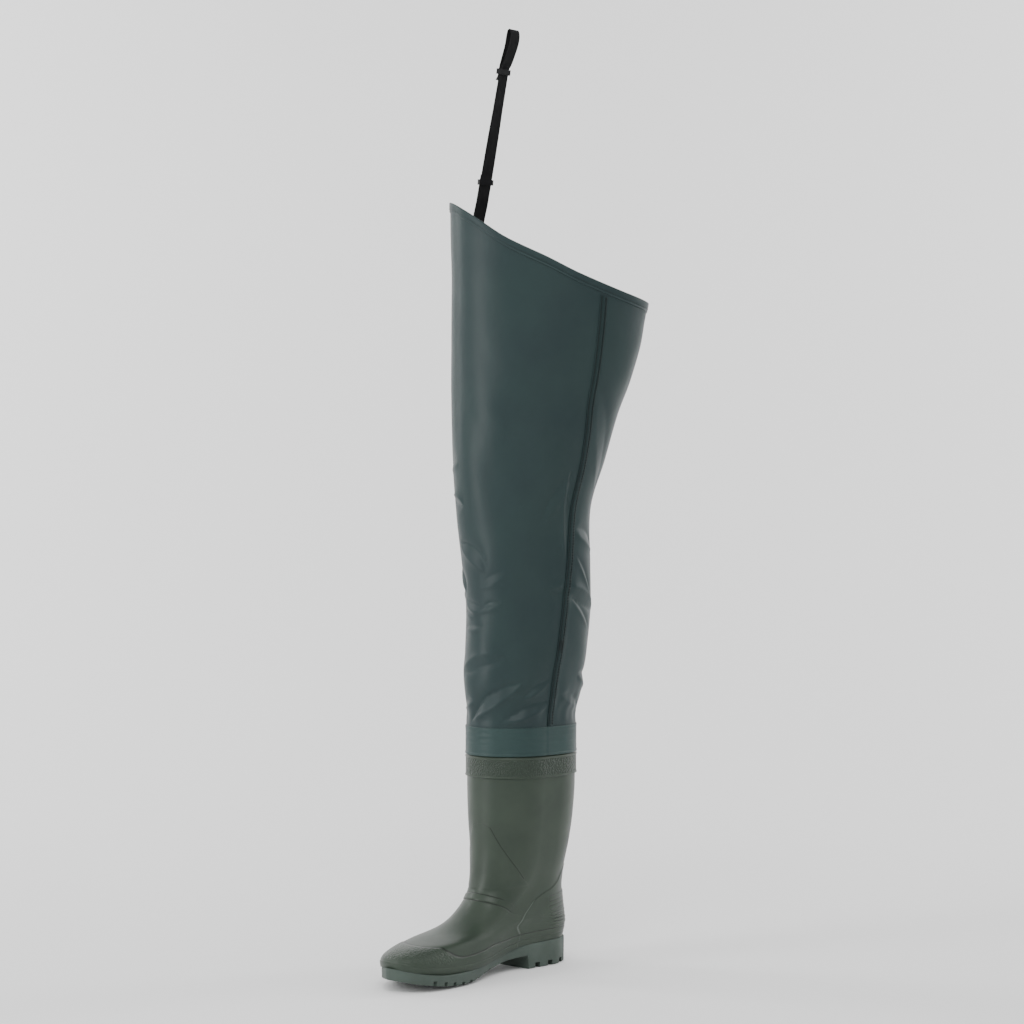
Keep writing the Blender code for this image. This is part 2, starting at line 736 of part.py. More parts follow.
def leg_facet(height, bearing, rise):
    """A point over the leg's own flat facets, raised by a distance, in metres."""
    columns = sorted(neck_bearings())
    columns = [columns[-1] - 360] + columns + [columns[0] + 360]
    right = next(i for i, column in enumerate(columns) if column > bearing)
    share = (bearing - columns[right - 1]) / (columns[right] - columns[right - 1])
    upper = next(i for i, ring in enumerate(LEG_RINGS) if ring >= height)
    lower = max(upper - 1, 0)
    lift = (height - LEG_RINGS[lower]) / max(LEG_RINGS[upper] - LEG_RINGS[lower], 1e-6)
    ends = []
    for ring in (LEG_RINGS[lower], LEG_RINGS[upper]):
        sides = [leg_surface(ring, columns[i]) for i in (right - 1, right)]
        ends.append(sides[0].lerp(sides[1], share))
    direction = math.radians(bearing)
    outward = Vector((math.cos(direction), math.sin(direction), 0.0))
    return ends[0].lerp(ends[1], lift) + outward * rise * MM


def build_seam(name, side, finish, parts):
    """A raised seam strip along the leg, from just over the cuff to just under the hem."""
    low = NECK_TOP + 0.6
    high = hem_band_height(read_table(SEAM_ROWS, side, LEG_RINGS[-1]), HEM_HEIGHT + 1.5)
    rows = []
    for height in [low] + [ring for ring in LEG_RINGS if low < ring < high] + [high]:
        middle = read_table(SEAM_ROWS, side, height)
        across = leg_surface(height, middle) - leg_surface(height, middle + 180)
        swing = math.degrees(SEAM_WIDTH * MM / across.length)
        rows.append(
            [leg_facet(height, middle + part * swing, SEAM_GAP) for part in (-1, -0.4, 0.4, 1)]
        )
    seam = new_object(name, loft(name, rows, closed=False), finish, parts)
    thicken(seam, SEAM_THICKNESS, 1.0)
    return seam


def strap_inset(layer):
    """How deep a layer of the strap lies inside the leg's outside. Layer 1 lies next to the cloth."""
    return CLOTH + CLEARANCE + 0.4 + STRAP_THICKNESS / 2 + LAYER_SPACING * (1 - layer)


def strap_frame(height):
    """The strap's middle, width direction, outward direction and upward direction over the hem."""
    start = leg_facet(STRAP_SEWN_TO, STRAP_BEARING, -strap_inset(0))
    end = placed(*STRAP_TOP)
    t = (height * MM - start.z) / (end.z - start.z)
    turn = math.radians(read_table(STRAP_TURNS, "turn", height))
    across = Vector((math.cos(turn), math.sin(turn), 0.0))
    upward = (end - start).normalized()
    outward = across.cross(upward).normalized()
    return start.lerp(end, t), across, outward, outward.cross(across).normalized()


def sewn_row(height, layer):
    swing = math.degrees(STRAP_WIDTH / 2 / 108.0)
    inset = strap_inset(layer)
    return [leg_facet(height, STRAP_BEARING + part * swing, -inset) for part in (-1, 0, 1)]


def strap_row(height, out):
    middle, across, outward, _ = strap_frame(height)
    centre = middle + outward * out * MM
    return [centre + across * part * STRAP_WIDTH / 2 * MM for part in (-1, 0, 1)]


def build_strap(finish, parts):
    """The strap from inside the hem, up through both sliders and round the belt loop."""
    rows = [sewn_row(height, 0) for height in (STRAP_SEWN_FROM, 886.0, STRAP_SEWN_TO)]
    rows += [strap_row(height, 0.0) for height in STRAP_HEIGHTS]
    rows += [strap_row(row.height, row.out) for row in LOOP_PATH]
    strap = new_object("strap", loft("strap", rows, closed=False), finish, parts)
    thicken(strap, STRAP_THICKNESS, 0.0)
    return strap


def build_strap_tail(finish, parts):
    """The doubled lower layer, from inside the hem to just over the lower slider."""
    rows = [sewn_row(height, 1) for height in (STRAP_SEWN_FROM, 886.0, STRAP_SEWN_TO)]
    rows += [strap_row(height, LAYER_SPACING) for height in (985.0, 1018.0)]
    tail = new_object("strap_tail", loft("strap_tail", rows, closed=False), finish, parts)
    thicken(tail, STRAP_THICKNESS, 0.0)
    return tail


def build_slider(name, height, finish, parts, cutters):
    """A slider: a closed frame round the strap's two layers."""
    middle, across, outward, upward = strap_frame(height)
    gap = STRAP_THICKNESS / 2 + CLEARANCE
    side = STRAP_WIDTH / 2 + SLIDER_PLAY

    def block(label, wall, tall):
        edge = side + wall
        inward = -gap - wall
        outmost = LAYER_SPACING + gap + wall
        corners = [(-edge, inward), (edge, inward), (edge, outmost), (-edge, outmost)]
        rows = [
            [middle + (across * a + outward * o + upward * up) * MM for a, o in corners]
            for up in (-tall / 2, tall / 2)
        ]
        return loft(label, rows, caps=True)

    slider = new_object(name, block(name, SLIDER_WALL, SLIDER_HEIGHT), finish, parts, shaded=False)
    slot = new_cutter("slider_slot", block("slider_slot", 0.0, SLIDER_HEIGHT * 2), cutters)
    combine(slider, slot, "DIFFERENCE")
    return slider


def build_scene():
    for leftover in list(bpy.data.objects):
        bpy.data.objects.remove(leftover)
    parts = bpy.data.collections.new("Hip wader")
    cutters = bpy.data.collections.new("Cutters")
    bpy.context.scene.collection.children.link(parts)
    bpy.context.scene.collection.children.link(cutters)

    boot_pvc = material("Boot PVC", (0.075, 0.095, 0.070), 0.45)
    sole_pvc = material("Sole PVC", (0.105, 0.135, 0.105), 0.55)
    foam = material("Insole foam", (0.08, 0.08, 0.075), 0.9)
    cloth = material("Coated cloth", (0.040, 0.075, 0.070), 0.40)
    tape = material("Seam tape", (0.045, 0.082, 0.076), 0.45)
    webbing = material("Webbing", (0.012, 0.012, 0.013), 0.85)
    plastic = material("Black plastic", (0.015, 0.015, 0.016), 0.35)

    build_outsole(sole_pvc, parts, cutters)
    build_boot_upper(boot_pvc, parts, cutters)
    build_insole(foam, parts)
    build_leg(cloth, parts)
    build_leg_cuff(tape, parts)
    build_top_hem(cloth, parts)
    build_seam("inner_seam", "inner", tape, parts)
    build_seam("outer_seam", "outer", tape, parts)
    build_strap(webbing, parts)
    build_strap_tail(webbing, parts)
    build_slider("slider_lower", LOWER_SLIDER, plastic, parts, cutters)
    build_slider("slider_upper", UPPER_SLIDER, plastic, parts, cutters)


build_scene()
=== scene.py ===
# %% [markdown]
# # A hip wader, step by step
#
# A hip wader is a rubber boot with a long cloth leg. The boot is moulded in PVC, the leg is nylon
# cloth with a waterproof coating, and a webbing strap on the outer hip ties it to the belt. The solids
# of the frame hold its sizes. This script dresses them: it lofts every piece again with far more
# points, adds creases, seams and stitches, and builds each material out of shader nodes.

import math
from collections import namedtuple

import bmesh
import bpy
import numpy as np
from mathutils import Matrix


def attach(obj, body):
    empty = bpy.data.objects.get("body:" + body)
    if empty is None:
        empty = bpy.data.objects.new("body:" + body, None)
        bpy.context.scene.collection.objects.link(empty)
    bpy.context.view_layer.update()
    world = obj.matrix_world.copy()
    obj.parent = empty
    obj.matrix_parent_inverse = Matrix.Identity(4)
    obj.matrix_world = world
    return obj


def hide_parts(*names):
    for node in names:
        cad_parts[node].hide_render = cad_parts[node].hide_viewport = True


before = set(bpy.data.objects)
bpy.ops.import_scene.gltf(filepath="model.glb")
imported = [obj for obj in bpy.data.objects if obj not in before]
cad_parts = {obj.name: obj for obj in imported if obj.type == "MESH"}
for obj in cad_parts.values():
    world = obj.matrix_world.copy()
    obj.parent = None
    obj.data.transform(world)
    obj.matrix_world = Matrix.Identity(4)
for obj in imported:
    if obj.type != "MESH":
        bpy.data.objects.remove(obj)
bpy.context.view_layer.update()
print("nodes:", sorted(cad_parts))

# %% [markdown]
# ## The camera
#
# The photo was taken from the front of the inner side, level with the thigh, from about three metres.
# The camera stands there and looks along the floor. A sideways lens shift centres the wader without
# turning the camera, so the perspective stays the photo's.

# %% Place the camera
CAMERA_BEARING = 43.0
CAMERA_DISTANCE = 3.0
CAMERA_SIDE = 0.0575
CAMERA_HEIGHT = 0.579
CAMERA_AXIS = 0.028
FOCAL_SHARE = 2340.0 / 1024.0
SHIFT_X = -0.053


def new_object(name, data):
    """An object that puts some data in the scene."""
    made = bpy.data.objects.new(name, data)
    bpy.context.scene.collection.objects.link(made)
    return made


bearing = math.radians(CAMERA_BEARING)
camera_data = bpy.data.cameras.new("camera")
camera_data.sensor_width = 36.0
camera_data.lens = 36.0 * FOCAL_SHARE
camera_data.shift_x = SHIFT_X
camera = new_object("camera", camera_data)
camera.location = (
    CAMERA_AXIS + CAMERA_DISTANCE * math.cos(bearing) - CAMERA_SIDE * math.sin(bearing),
    CAMERA_DISTANCE * math.sin(bearing) + CAMERA_SIDE * math.cos(bearing),
    CAMERA_HEIGHT,
)
camera.rotation_euler = (math.radians(90), 0, bearing + math.radians(90))
bpy.context.scene.camera = camera
print("camera at", [round(c, 3) for c in camera.location])

# %% [markdown]
# ## Reading the sizes
#
# The boot is a stack of closed rings from the feather edge, where it meets the sole, to the neck. Each
# ring is one row of a short table, and a smooth curve through each column gives the rings between.
# Sizes are in millimetres, and stations run forward from the back of the heel.

# %% The boot's sizes
MM = 0.001
ORIGIN_STATION = 35.0
CLEARANCE = 0.3
CLOTH = 0.5
BOOT_WALL = 2.4


def rows_of(kind, rows):
    """A table: each row of plain values becomes a named row."""
    return [kind(*row) for row in rows]


BootRing = namedtuple(
    "BootRing",
    "name front front_z back back_z ball ball_in ball_out heel heel_in heel_out"
    " dip_in dip_out toe_in sag power",
)
BOOT_RINGS = rows_of(BootRing, [
    ("feather", 300.5, 0, 3.5, 0, 214, 48.0, 51.0, 42, 33.5, 34.5, 7.0, 2.0, 12.5, 1.0, 2.2),
    ("welt", 301.5, 36, 1.0, 38.5, 212, 49.0, 52.0, 42, 34.5, 35.5, 7.0, 2.0, 12.5, 1.0, 2.2),
    ("rand", 296.5, 42.5, -0.5, 45, 207, 48.5, 51.0, 42, 35.5, 36.5, 6.0, 1.5, 12.0, 0.9, 2.2),
    ("toe_edge", 279.5, 48.0, -1.5, 51.5, 196, 46.0, 48.5, 43, 36.0, 37.0, 5.0, 1.0, 10.5, 0.7, 2.15),
    ("toe_top", 256.5, 50.8, -2.0, 58, 184, 43.5, 45.5, 45, 36.0, 37.0, 3.0, 0, 8.5, 0.5, 2.1),
    ("vamp_low", 234.5, 52.8, -2.0, 64.5, 171, 41.0, 42.5, 48, 36.5, 37.5, 1.5, 0, 6.5, 0.3, 2.0),
    ("vamp", 207.5, 57.2, -1.0, 72, 155, 38.5, 39.5, 51, 37.0, 38.0, 0, 0, 4.5, 0.2, 2.0),
    ("vamp_high", 185.5, 65.5, 0.5, 81, 137, 36.5, 37.5, 54, 37.5, 38.5, 0, 0, 3.0, 0.1, 2.0),
    ("instep_low", 168.0, 78.0, 2.5, 91.5, 118, 36.0, 36.5, 55, 38.5, 39.0, 0, 0, 1.5, 0, 2.0),
    ("instep", 154.0, 91.0, 4.0, 103, 102, 37.5, 38.0, 56, 40.0, 40.5, 0, 0, 0.5, 0, 2.0),
    ("throat", 143.5, 108.0, 4.0, 117, 89, 41.0, 41.5, 55, 42.5, 43.0, 0, 0, 0, 0, 2.0),
    ("ankle", 138.5, 130.0, 1.5, 134, 84, 46.0, 46.5, 53, 46.5, 47.0, 0, 0, 0, 0, 2.0),
    ("shin", 137.0, 160, -4.0, 160, 81, 50.5, 51.0, 51, 51.0, 51.5, 0, 0, 0, 0, 2.0),
    ("calf", 138.5, 195, -9.5, 195, 80, 54.0, 54.5, 49, 54.5, 55.0, 0, 0, 0, 0, 2.0),
    ("collar", 139.0, 238, -12.5, 238, 79, 56.0, 56.5, 48, 56.5, 57.0, 0, 0, 0, 0, 2.0),
    ("neck", 139.0, 307, -12.5, 307, 79, 56.5, 57.0, 48, 57.0, 57.5, 0, 0, 0, 0, 2.0),
])
COLLAR_RING = 14
NECK_RING = 15
NOSE_SHARE = 7 / 19
REAR_SHARE = 7 / 19

SoleRow = namedtuple("SoleRow", "station inner outer")
SOLE_OUTLINE = rows_of(SoleRow, [
    (0.0, 0.0, 0.0), (3.0, 14.5, 14.5), (12.0, 26.5, 27.0), (38.0, 35.5, 36.5), (78.0, 33.5, 36.5),
    (115.0, 30.0, 38.0), (155.0, 36.5, 43.5), (185.0, 45.5, 50.0), (214.0, 51.0, 53.5),
    (250.0, 52.0, 46.0), (265.0, 49.5, 38.5), (276.0, 45.5, 30.3), (285.0, 40.0, 22.0),
    (294.0, 32.0, 12.0), (301.0, 22.0, 0.0), (305.0, 12.0, -8.0),
])
ProfileRow = namedtuple("ProfileRow", "station top bottom crown")
SOLE_PROFILE = rows_of(ProfileRow, [
    (0.0, 33.0, 1.6, 0.6), (5.0, 33.0, 0.0, 0.6), (62.0, 32.2, 0.0, 0.6), (83.0, 31.5, 0.0, 0.6),
    (85.0, 31.3, 16.5, 0.6), (92.0, 31.0, 16.0, 1.0), (116.0, 28.0, 14.2, 1.5), (143.0, 22.3, 10.0, 2.5),
    (172.0, 18.6, 4.6, 3.0), (190.0, 17.5, 1.2, 3.0), (199.0, 17.3, 0.0, 3.0), (226.0, 17.4, 0.0, 3.0),
    (245.0, 18.2, 1.9, 3.0), (273.0, 22.0, 7.0, 2.2), (292.0, 26.5, 12.3, 1.2), (305.0, 30.0, 16.0, 0.8),
])


def column(rows, name):
    return np.array([getattr(row, name) for row in rows], float)


def cubic(xs, ys, slopes, at):
    """A cubic curve through (xs, ys) with a slope at each point, read at many places."""
    at = np.clip(at, xs[0], xs[-1])
    i = np.clip(np.searchsorted(xs, at, side="right") - 1, 0, len(xs) - 2)
    span = xs[i + 1] - xs[i]
    t = (at - xs[i]) / span
    return (
        (1 + 2 * t) * (1 - t) ** 2 * ys[i]
        + t * (1 - t) ** 2 * span * slopes[i]
        + t * t * (3 - 2 * t) * ys[i + 1]
        + t * t * (t - 1) * span * slopes[i + 1]
    )


def smooth(xs, ys, at):
    """A cubic curve through (xs, ys) that never overshoots its points, read at many places."""
    steps = np.diff(xs)
    slopes = np.diff(ys) / steps
    tangents = np.zeros(len(xs))
    tangents[0] = slopes[0]
    tangents[-1] = slopes[-1]
    for i in range(1, len(xs) - 1):
        if slopes[i - 1] * slopes[i] > 0:
            before = steps[i - 1] + 2 * steps[i]
            after = 2 * steps[i - 1] + steps[i]
            tangents[i] = (before + after) / (before / slopes[i] + after / slopes[i - 1])
    return cubic(xs, ys, tangents, at)


def read_table(rows, name, at):
    """One column of a table, read at places in its first column."""
    return smooth(column(rows, rows[0]._fields[0]), column(rows, name), np.asarray(at, float))


def sole_top(station):
    return read_table(SOLE_PROFILE, "top", station)


feather = BOOT_RINGS[0]
BOOT_RINGS[0] = feather._replace(
    front_z=float(sole_top(feather.front)) + CLEARANCE, back_z=float(sole_top(feather.back)) + CLEARANCE
)
print("boot rings:", len(BOOT_RINGS), "sole length:", SOLE_OUTLINE[-1].station)

# %% [markdown]
# ## From tables to grids of points
#
# A grid of points is the easiest way to hold a lofted skin: one row per height, one column per step
# around. With numpy the whole grid is worked out at once, and its neighbours give the direction that
# points straight out of the skin, along which relief and creases push it.

# %% Grid helpers
def boot_points(places, turns):
    """Points of the boot's outside in millimetres, for every place and every turn round it."""
    count = np.arange(len(BOOT_RINGS), dtype=float)
    ring = {
        name: smooth(count, column(BOOT_RINGS, name), places)[:, None]
        for name in BootRing._fields[1:]
    }
    turns = np.mod(turns, 1.0)
    inner = turns <= 0.5
    share = np.where(inner, 2 * turns, 2 - 2 * turns)[None, :]
    ball_width = np.where(inner, ring["ball_in"], ring["ball_out"])
    heel_width = np.where(inner, ring["heel_in"], ring["heel_out"])
    dip = np.where(inner, ring["dip_in"], ring["dip_out"])
    full = 2 / ring["power"]

    nose = np.clip(share / NOSE_SHARE, 0, 1) * math.pi / 2
    nose_along = np.maximum(np.cos(nose), 0) ** full
    nose_station = ring["ball"] + (ring["front"] - ring["ball"]) * nose_along
    nose_width = ball_width * np.sin(nose) ** full

    t = np.clip((share - NOSE_SHARE) / (1 - REAR_SHARE - NOSE_SHARE), 0, 1)
    ease = (1 - np.cos(math.pi * t)) / 2
    side_station = ring["ball"] + (ring["heel"] - ring["ball"]) * t
    side_width = ball_width + (heel_width - ball_width) * ease - dip * np.sin(math.pi * t) ** 2

    rear = np.clip((share - 1 + REAR_SHARE) / REAR_SHARE, 0, 1) * math.pi / 2
    rear_station = ring["heel"] - (ring["heel"] - ring["back"]) * np.sin(rear) ** full
    rear_width = heel_width * np.maximum(np.cos(rear), 0) ** full

    in_nose = share < NOSE_SHARE
    in_side = share <= 1 - REAR_SHARE
    station = np.where(in_nose, nose_station, np.where(in_side, side_station, rear_station))
    width = np.where(in_nose, nose_width, np.where(in_side, side_width, rear_width))
    shift = np.where(in_nose, ring["toe_in"] * nose_along ** 2, 0.0)

    f = (station - ring["back"]) / (ring["front"] - ring["back"])
    chord = ring["back_z"] + (ring["front_z"] - ring["back_z"]) * f
    bed = sole_top(station) - (sole_top(ring["back"]) * (1 - f) + sole_top(ring["front"]) * f)
    across = np.where(inner, width, -width) + shift
    return np.stack([station, across, chord + ring["sag"] * bed], axis=-1)


def outward(grid, closed=True):
    """The direction straight out of each point of a grid whose columns run round to the left."""
    if closed:
        around = np.roll(grid, -1, axis=1) - np.roll(grid, 1, axis=1)
    else:
        around = np.gradient(grid, axis=1)
    upward = np.gradient(grid, axis=0)
    normal = np.cross(around, upward)
    return normal / np.maximum(np.linalg.norm(normal, axis=-1, keepdims=True), 1e-9)


def step(x):
    """A soft step from 0 at x = 0 to 1 at x = 1."""
    x = np.clip(x, 0, 1)
    return x * x * (3 - 2 * x)


def lay_grid(name, grids, closed=True, marks=None, loop=False):
    """A mesh from rows of points in millimetres. marks names values that the materials read."""
    points = np.concatenate(grids, axis=0) if isinstance(grids, list) else grids
    rows, columns = points.shape[:2]
    flat = points.reshape(-1, 3).copy()
    flat[:, 0] -= ORIGIN_STATION
    row = np.arange(rows if loop else rows - 1)[:, None]
    col = np.arange(columns if closed else columns - 1)[None, :]
    up = (row + 1) % rows
    right = (col + 1) % columns
    quads = np.stack(
        np.broadcast_arrays(
            row * columns + col, row * columns + right, up * columns + right, up * columns + col
        ),
        axis=-1,
    ).reshape(-1, 4)
    mesh = bpy.data.meshes.new(name)
    mesh.from_pydata((flat * MM).tolist(), [], quads.tolist())
    mesh.polygons.foreach_set("use_smooth", [True] * len(mesh.polygons))
    for mark, values in (marks or {}).items():
        layer = mesh.attributes.new(mark, "FLOAT", "POINT")
        layer.data.foreach_set("value", np.asarray(values, np.float32).ravel())
    return mesh


def close_ends(mesh):
    """Fills the open ends of a lofted mesh and turns its faces outward."""
    shape = bmesh.new()
    shape.from_mesh(mesh)
    bmesh.ops.holes_fill(shape, edges=[edge for edge in shape.edges if edge.is_boundary])
    bmesh.ops.recalc_face_normals(shape, faces=shape.faces)
    shape.to_mesh(mesh)
    shape.free()


def add_piece(name, mesh, finish, slot, *nodes):
    """Puts a mesh in the scene as a piece that rides on the wader and stands for CAD nodes."""
    made = new_object(name, mesh)
    made.data.materials.append(finish)
    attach(made, "root")
    if nodes:
        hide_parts(*nodes)
    print(name, "has", len(mesh.polygons), "faces")
    return made


# %% [markdown]
# ## Shader building blocks
#
# Every surface here has the same few effects: a fine grain, slow blotches and a bump. Each is a node
# group, made once and used by many materials, so a change in the group changes them all. A small
# helper keeps the node code short.

# %% Node helpers
def add_node(tree, kind, **settings):
    """A node with its settings. A key that starts with in_ sets the input of that name or number."""
    node = tree.nodes.new(kind)
    for key, value in settings.items():
        if key.startswith("in_"):
            label = key[3:]
            socket = node.inputs[int(label)] if label.isdigit() else node.inputs[label.replace("_", " ")]
            if isinstance(value, bpy.types.NodeSocket):
                tree.links.new(value, socket)
            else:
                socket.default_value = value
        else:
            setattr(node, key, value)
    return node


def math_node(tree, operation, a, b=0.0, clamp=False):
    return add_node(tree, "ShaderNodeMath", operation=operation, use_clamp=clamp, in_0=a, in_1=b).outputs[0]


def new_group(name, inputs, outputs):
    """An empty node group. inputs and outputs are (name, socket kind, default) rows."""
    tree = bpy.data.node_groups.new(name, "ShaderNodeTree")
    for label, kind, default in inputs:
        socket = tree.interface.new_socket(label, in_out="INPUT", socket_type=kind)
        if default is not None:
            socket.default_value = default
    for label, kind in outputs:
        tree.interface.new_socket(label, in_out="OUTPUT", socket_type=kind)
    return tree, tree.nodes.new("NodeGroupInput"), tree.nodes.new("NodeGroupOutput")


def use_group(tree, group, **values):
    return add_node(tree, "ShaderNodeGroup", node_tree=group, **values)


def read_mark(tree, name):
    """A value that the mesh stores at its points."""
    return add_node(tree, "ShaderNodeAttribute", attribute_name=name).outputs["Fac"]


def mix_colours(tree, share, first, second):
    """The first colour where share is 0, the second where it is 1."""
    mixed = add_node(tree, "ShaderNodeMix", data_type="RGBA", in_0=share, in_6=first, in_7=second)
    return mixed.outputs[2]


FLOAT = "NodeSocketFloat"
COLOUR = "NodeSocketColor"

# %% [markdown]
# ## Grain, blotches and weave
#
# Moulded PVC and coated nylon are never quite even: both have a fine grain and slow changes of shade.
# A picture could hold them, but it blurs close up and has to be unwrapped. Noise that is worked out
# in space has no seams, and as a group it lets each material choose its size. The weave of the
# strap is two crossed sine waves, which read their place on the webbing from the mesh.

# %% Grain group
grain_group, given, out = new_group(
    "grain", [("Size", FLOAT, 0.6), ("Detail", FLOAT, 3.0)], [("Height", FLOAT)]
)
place = add_node(grain_group, "ShaderNodeTexCoord").outputs["Object"]
scale = math_node(grain_group, "DIVIDE", 1000.0, given.outputs["Size"])
fine = add_node(grain_group, "ShaderNodeTexNoise", in_Vector=place, in_Scale=scale, in_Roughness=0.6)
grain_group.links.new(given.outputs["Detail"], fine.inputs["Detail"])
grain_group.links.new(fine.outputs["Fac"], out.inputs["Height"])

# %% Blotch group
blotch_group, given, out = new_group(
    "blotch",
    [("Colour", COLOUR, None), ("Dark", COLOUR, None), ("Size", FLOAT, 60.0), ("Amount", FLOAT, 1.0)],
    [("Colour", COLOUR), ("Fac", FLOAT)],
)
place = add_node(blotch_group, "ShaderNodeTexCoord").outputs["Object"]
scale = math_node(blotch_group, "DIVIDE", 1000.0, given.outputs["Size"])
cloud = add_node(blotch_group, "ShaderNodeTexNoise", in_Vector=place, in_Scale=scale, in_Detail=4.0)
spread = add_node(
    blotch_group, "ShaderNodeMapRange", in_Value=cloud.outputs["Fac"], in_From_Min=0.38, in_From_Max=0.66
)
amount = math_node(blotch_group, "MULTIPLY", spread.outputs[0], given.outputs["Amount"], clamp=True)
mixed = mix_colours(blotch_group, amount, given.outputs["Colour"], given.outputs["Dark"])
blotch_group.links.new(mixed, out.inputs["Colour"])
blotch_group.links.new(amount, out.inputs["Fac"])

# %% Weave group
weave_group, given, out = new_group(
    "weave", [("Across", FLOAT, 0.8), ("Along", FLOAT, 1.1)], [("Height", FLOAT)]
)
waves = []
for mark, pitch in (("u", "Across"), ("v", "Along")):
    cycles = math_node(weave_group, "DIVIDE", read_mark(weave_group, mark), given.outputs[pitch])
    turns = math_node(weave_group, "MULTIPLY", cycles, 2 * math.pi)
    waves.append(math_node(weave_group, "SINE", turns))
crossed = math_node(weave_group, "MULTIPLY", waves[0], waves[1])
lifted = math_node(weave_group, "MULTIPLY_ADD", crossed, 0.5)
lifted.node.inputs[2].default_value = 0.5
weave_group.links.new(lifted, out.inputs["Height"])
print("node groups:", [group.name for group in bpy.data.node_groups])

# %% [markdown]
# ## A material to start from
#
# Every finish here starts from the same Principled shader with a blotchy colour and roughness. Bumps
# are chained, so a fine grain can lie on a coarse one. Plain finishes need nothing else.

# %% Material helper
ROUGH_SPREAD = 0.08


def new_material(name, colour, dark, roughness, blotch_size, gloss=0.3):
    """A material with blotchy colour and roughness. Returns it with its tree and shader."""
    made = bpy.data.materials.new(name)
    made.use_nodes = True
    tree = made.node_tree
    shader = tree.nodes["Principled BSDF"]
    shader.inputs["Specular IOR Level"].default_value = gloss
    blotch = use_group(
        tree, blotch_group, in_0=(*colour, 1), in_1=(*dark, 1), in_2=blotch_size, in_3=0.8
    )
    tree.links.new(blotch.outputs["Colour"], shader.inputs["Base Color"])
    spread = add_node(tree, "ShaderNodeMapRange", in_Value=blotch.outputs["Fac"])
    spread.inputs["To Min"].default_value = roughness - ROUGH_SPREAD / 2
    spread.inputs["To Max"].default_value = roughness + ROUGH_SPREAD / 2
    tree.links.new(spread.outputs[0], shader.inputs["Roughness"])
    return made, tree, shader


def add_bump(tree, height, strength, distance, after=None):
    """A bump node, chained after another one if given."""
    bump = add_node(tree, "ShaderNodeBump", in_Height=height, in_Strength=strength, in_Distance=distance * MM)
    if after:
        tree.links.new(after.outputs["Normal"], bump.inputs["Normal"])
    return bump


def grained_material(name, colour, dark, roughness, blotch_size, gloss, grain, detail, strength, depth):
    """A plain material with one fine grain: its size, detail, strength and depth in millimetres."""
    made, tree, shader = new_material(name, colour, dark, roughness, blotch_size, gloss)
    skin = use_group(tree, grain_group, in_0=grain, in_1=detail)
    bump = add_bump(tree, skin.outputs["Height"], strength, depth)
    tree.links.new(bump.outputs["Normal"], shader.inputs["Normal"])
    return made


# %% [markdown]
# ## The moulded PVC
#
# The boot is one moulding of soft PVC with a satin skin. Its grain is barely visible, but the collar
# band and the toe cap are stippled by the mould. The mesh marks those two areas, and the material
# raises the stipple there. A thin coat gives the soft highlights.

# %% Boot and sole materials
BOOT_GREEN = (0.029, 0.043, 0.030)
BOOT_DARK = (0.022, 0.034, 0.024)
BAND_GREEN = (0.019, 0.031, 0.021)
# The dark line colour is painted shade in the grooves at the relief's edges and between the heel ribs.
EDGE_SHADE_GREEN = (0.006, 0.009, 0.006)
SOLE_GREEN = (0.056, 0.077, 0.065)
SOLE_DARK = (0.046, 0.063, 0.053)
# The light line colour is a painted highlight along the heel counter's front edge.
EDGE_HIGHLIGHT_GREEN = (0.105, 0.125, 0.108)
SHADED_EDGE_LINES = ("rand", "shin", "counter", "instep_high", "instep_low", "ribs")

line_group, given, out = new_group(
    "edge_line", [("Distance", FLOAT, 40.0), ("Width", FLOAT, 0.7)], [("Mask", FLOAT)]
)
away = math_node(line_group, "ABSOLUTE", given.outputs["Distance"])
share = math_node(line_group, "DIVIDE", away, given.outputs["Width"])
mask = add_node(line_group, "ShaderNodeMapRange", interpolation_type="SMOOTHSTEP", in_Value=share)
mask.inputs["To Min"].default_value = 1.0
mask.inputs["To Max"].default_value = 0.0
line_group.links.new(mask.outputs[0], out.inputs["Mask"])


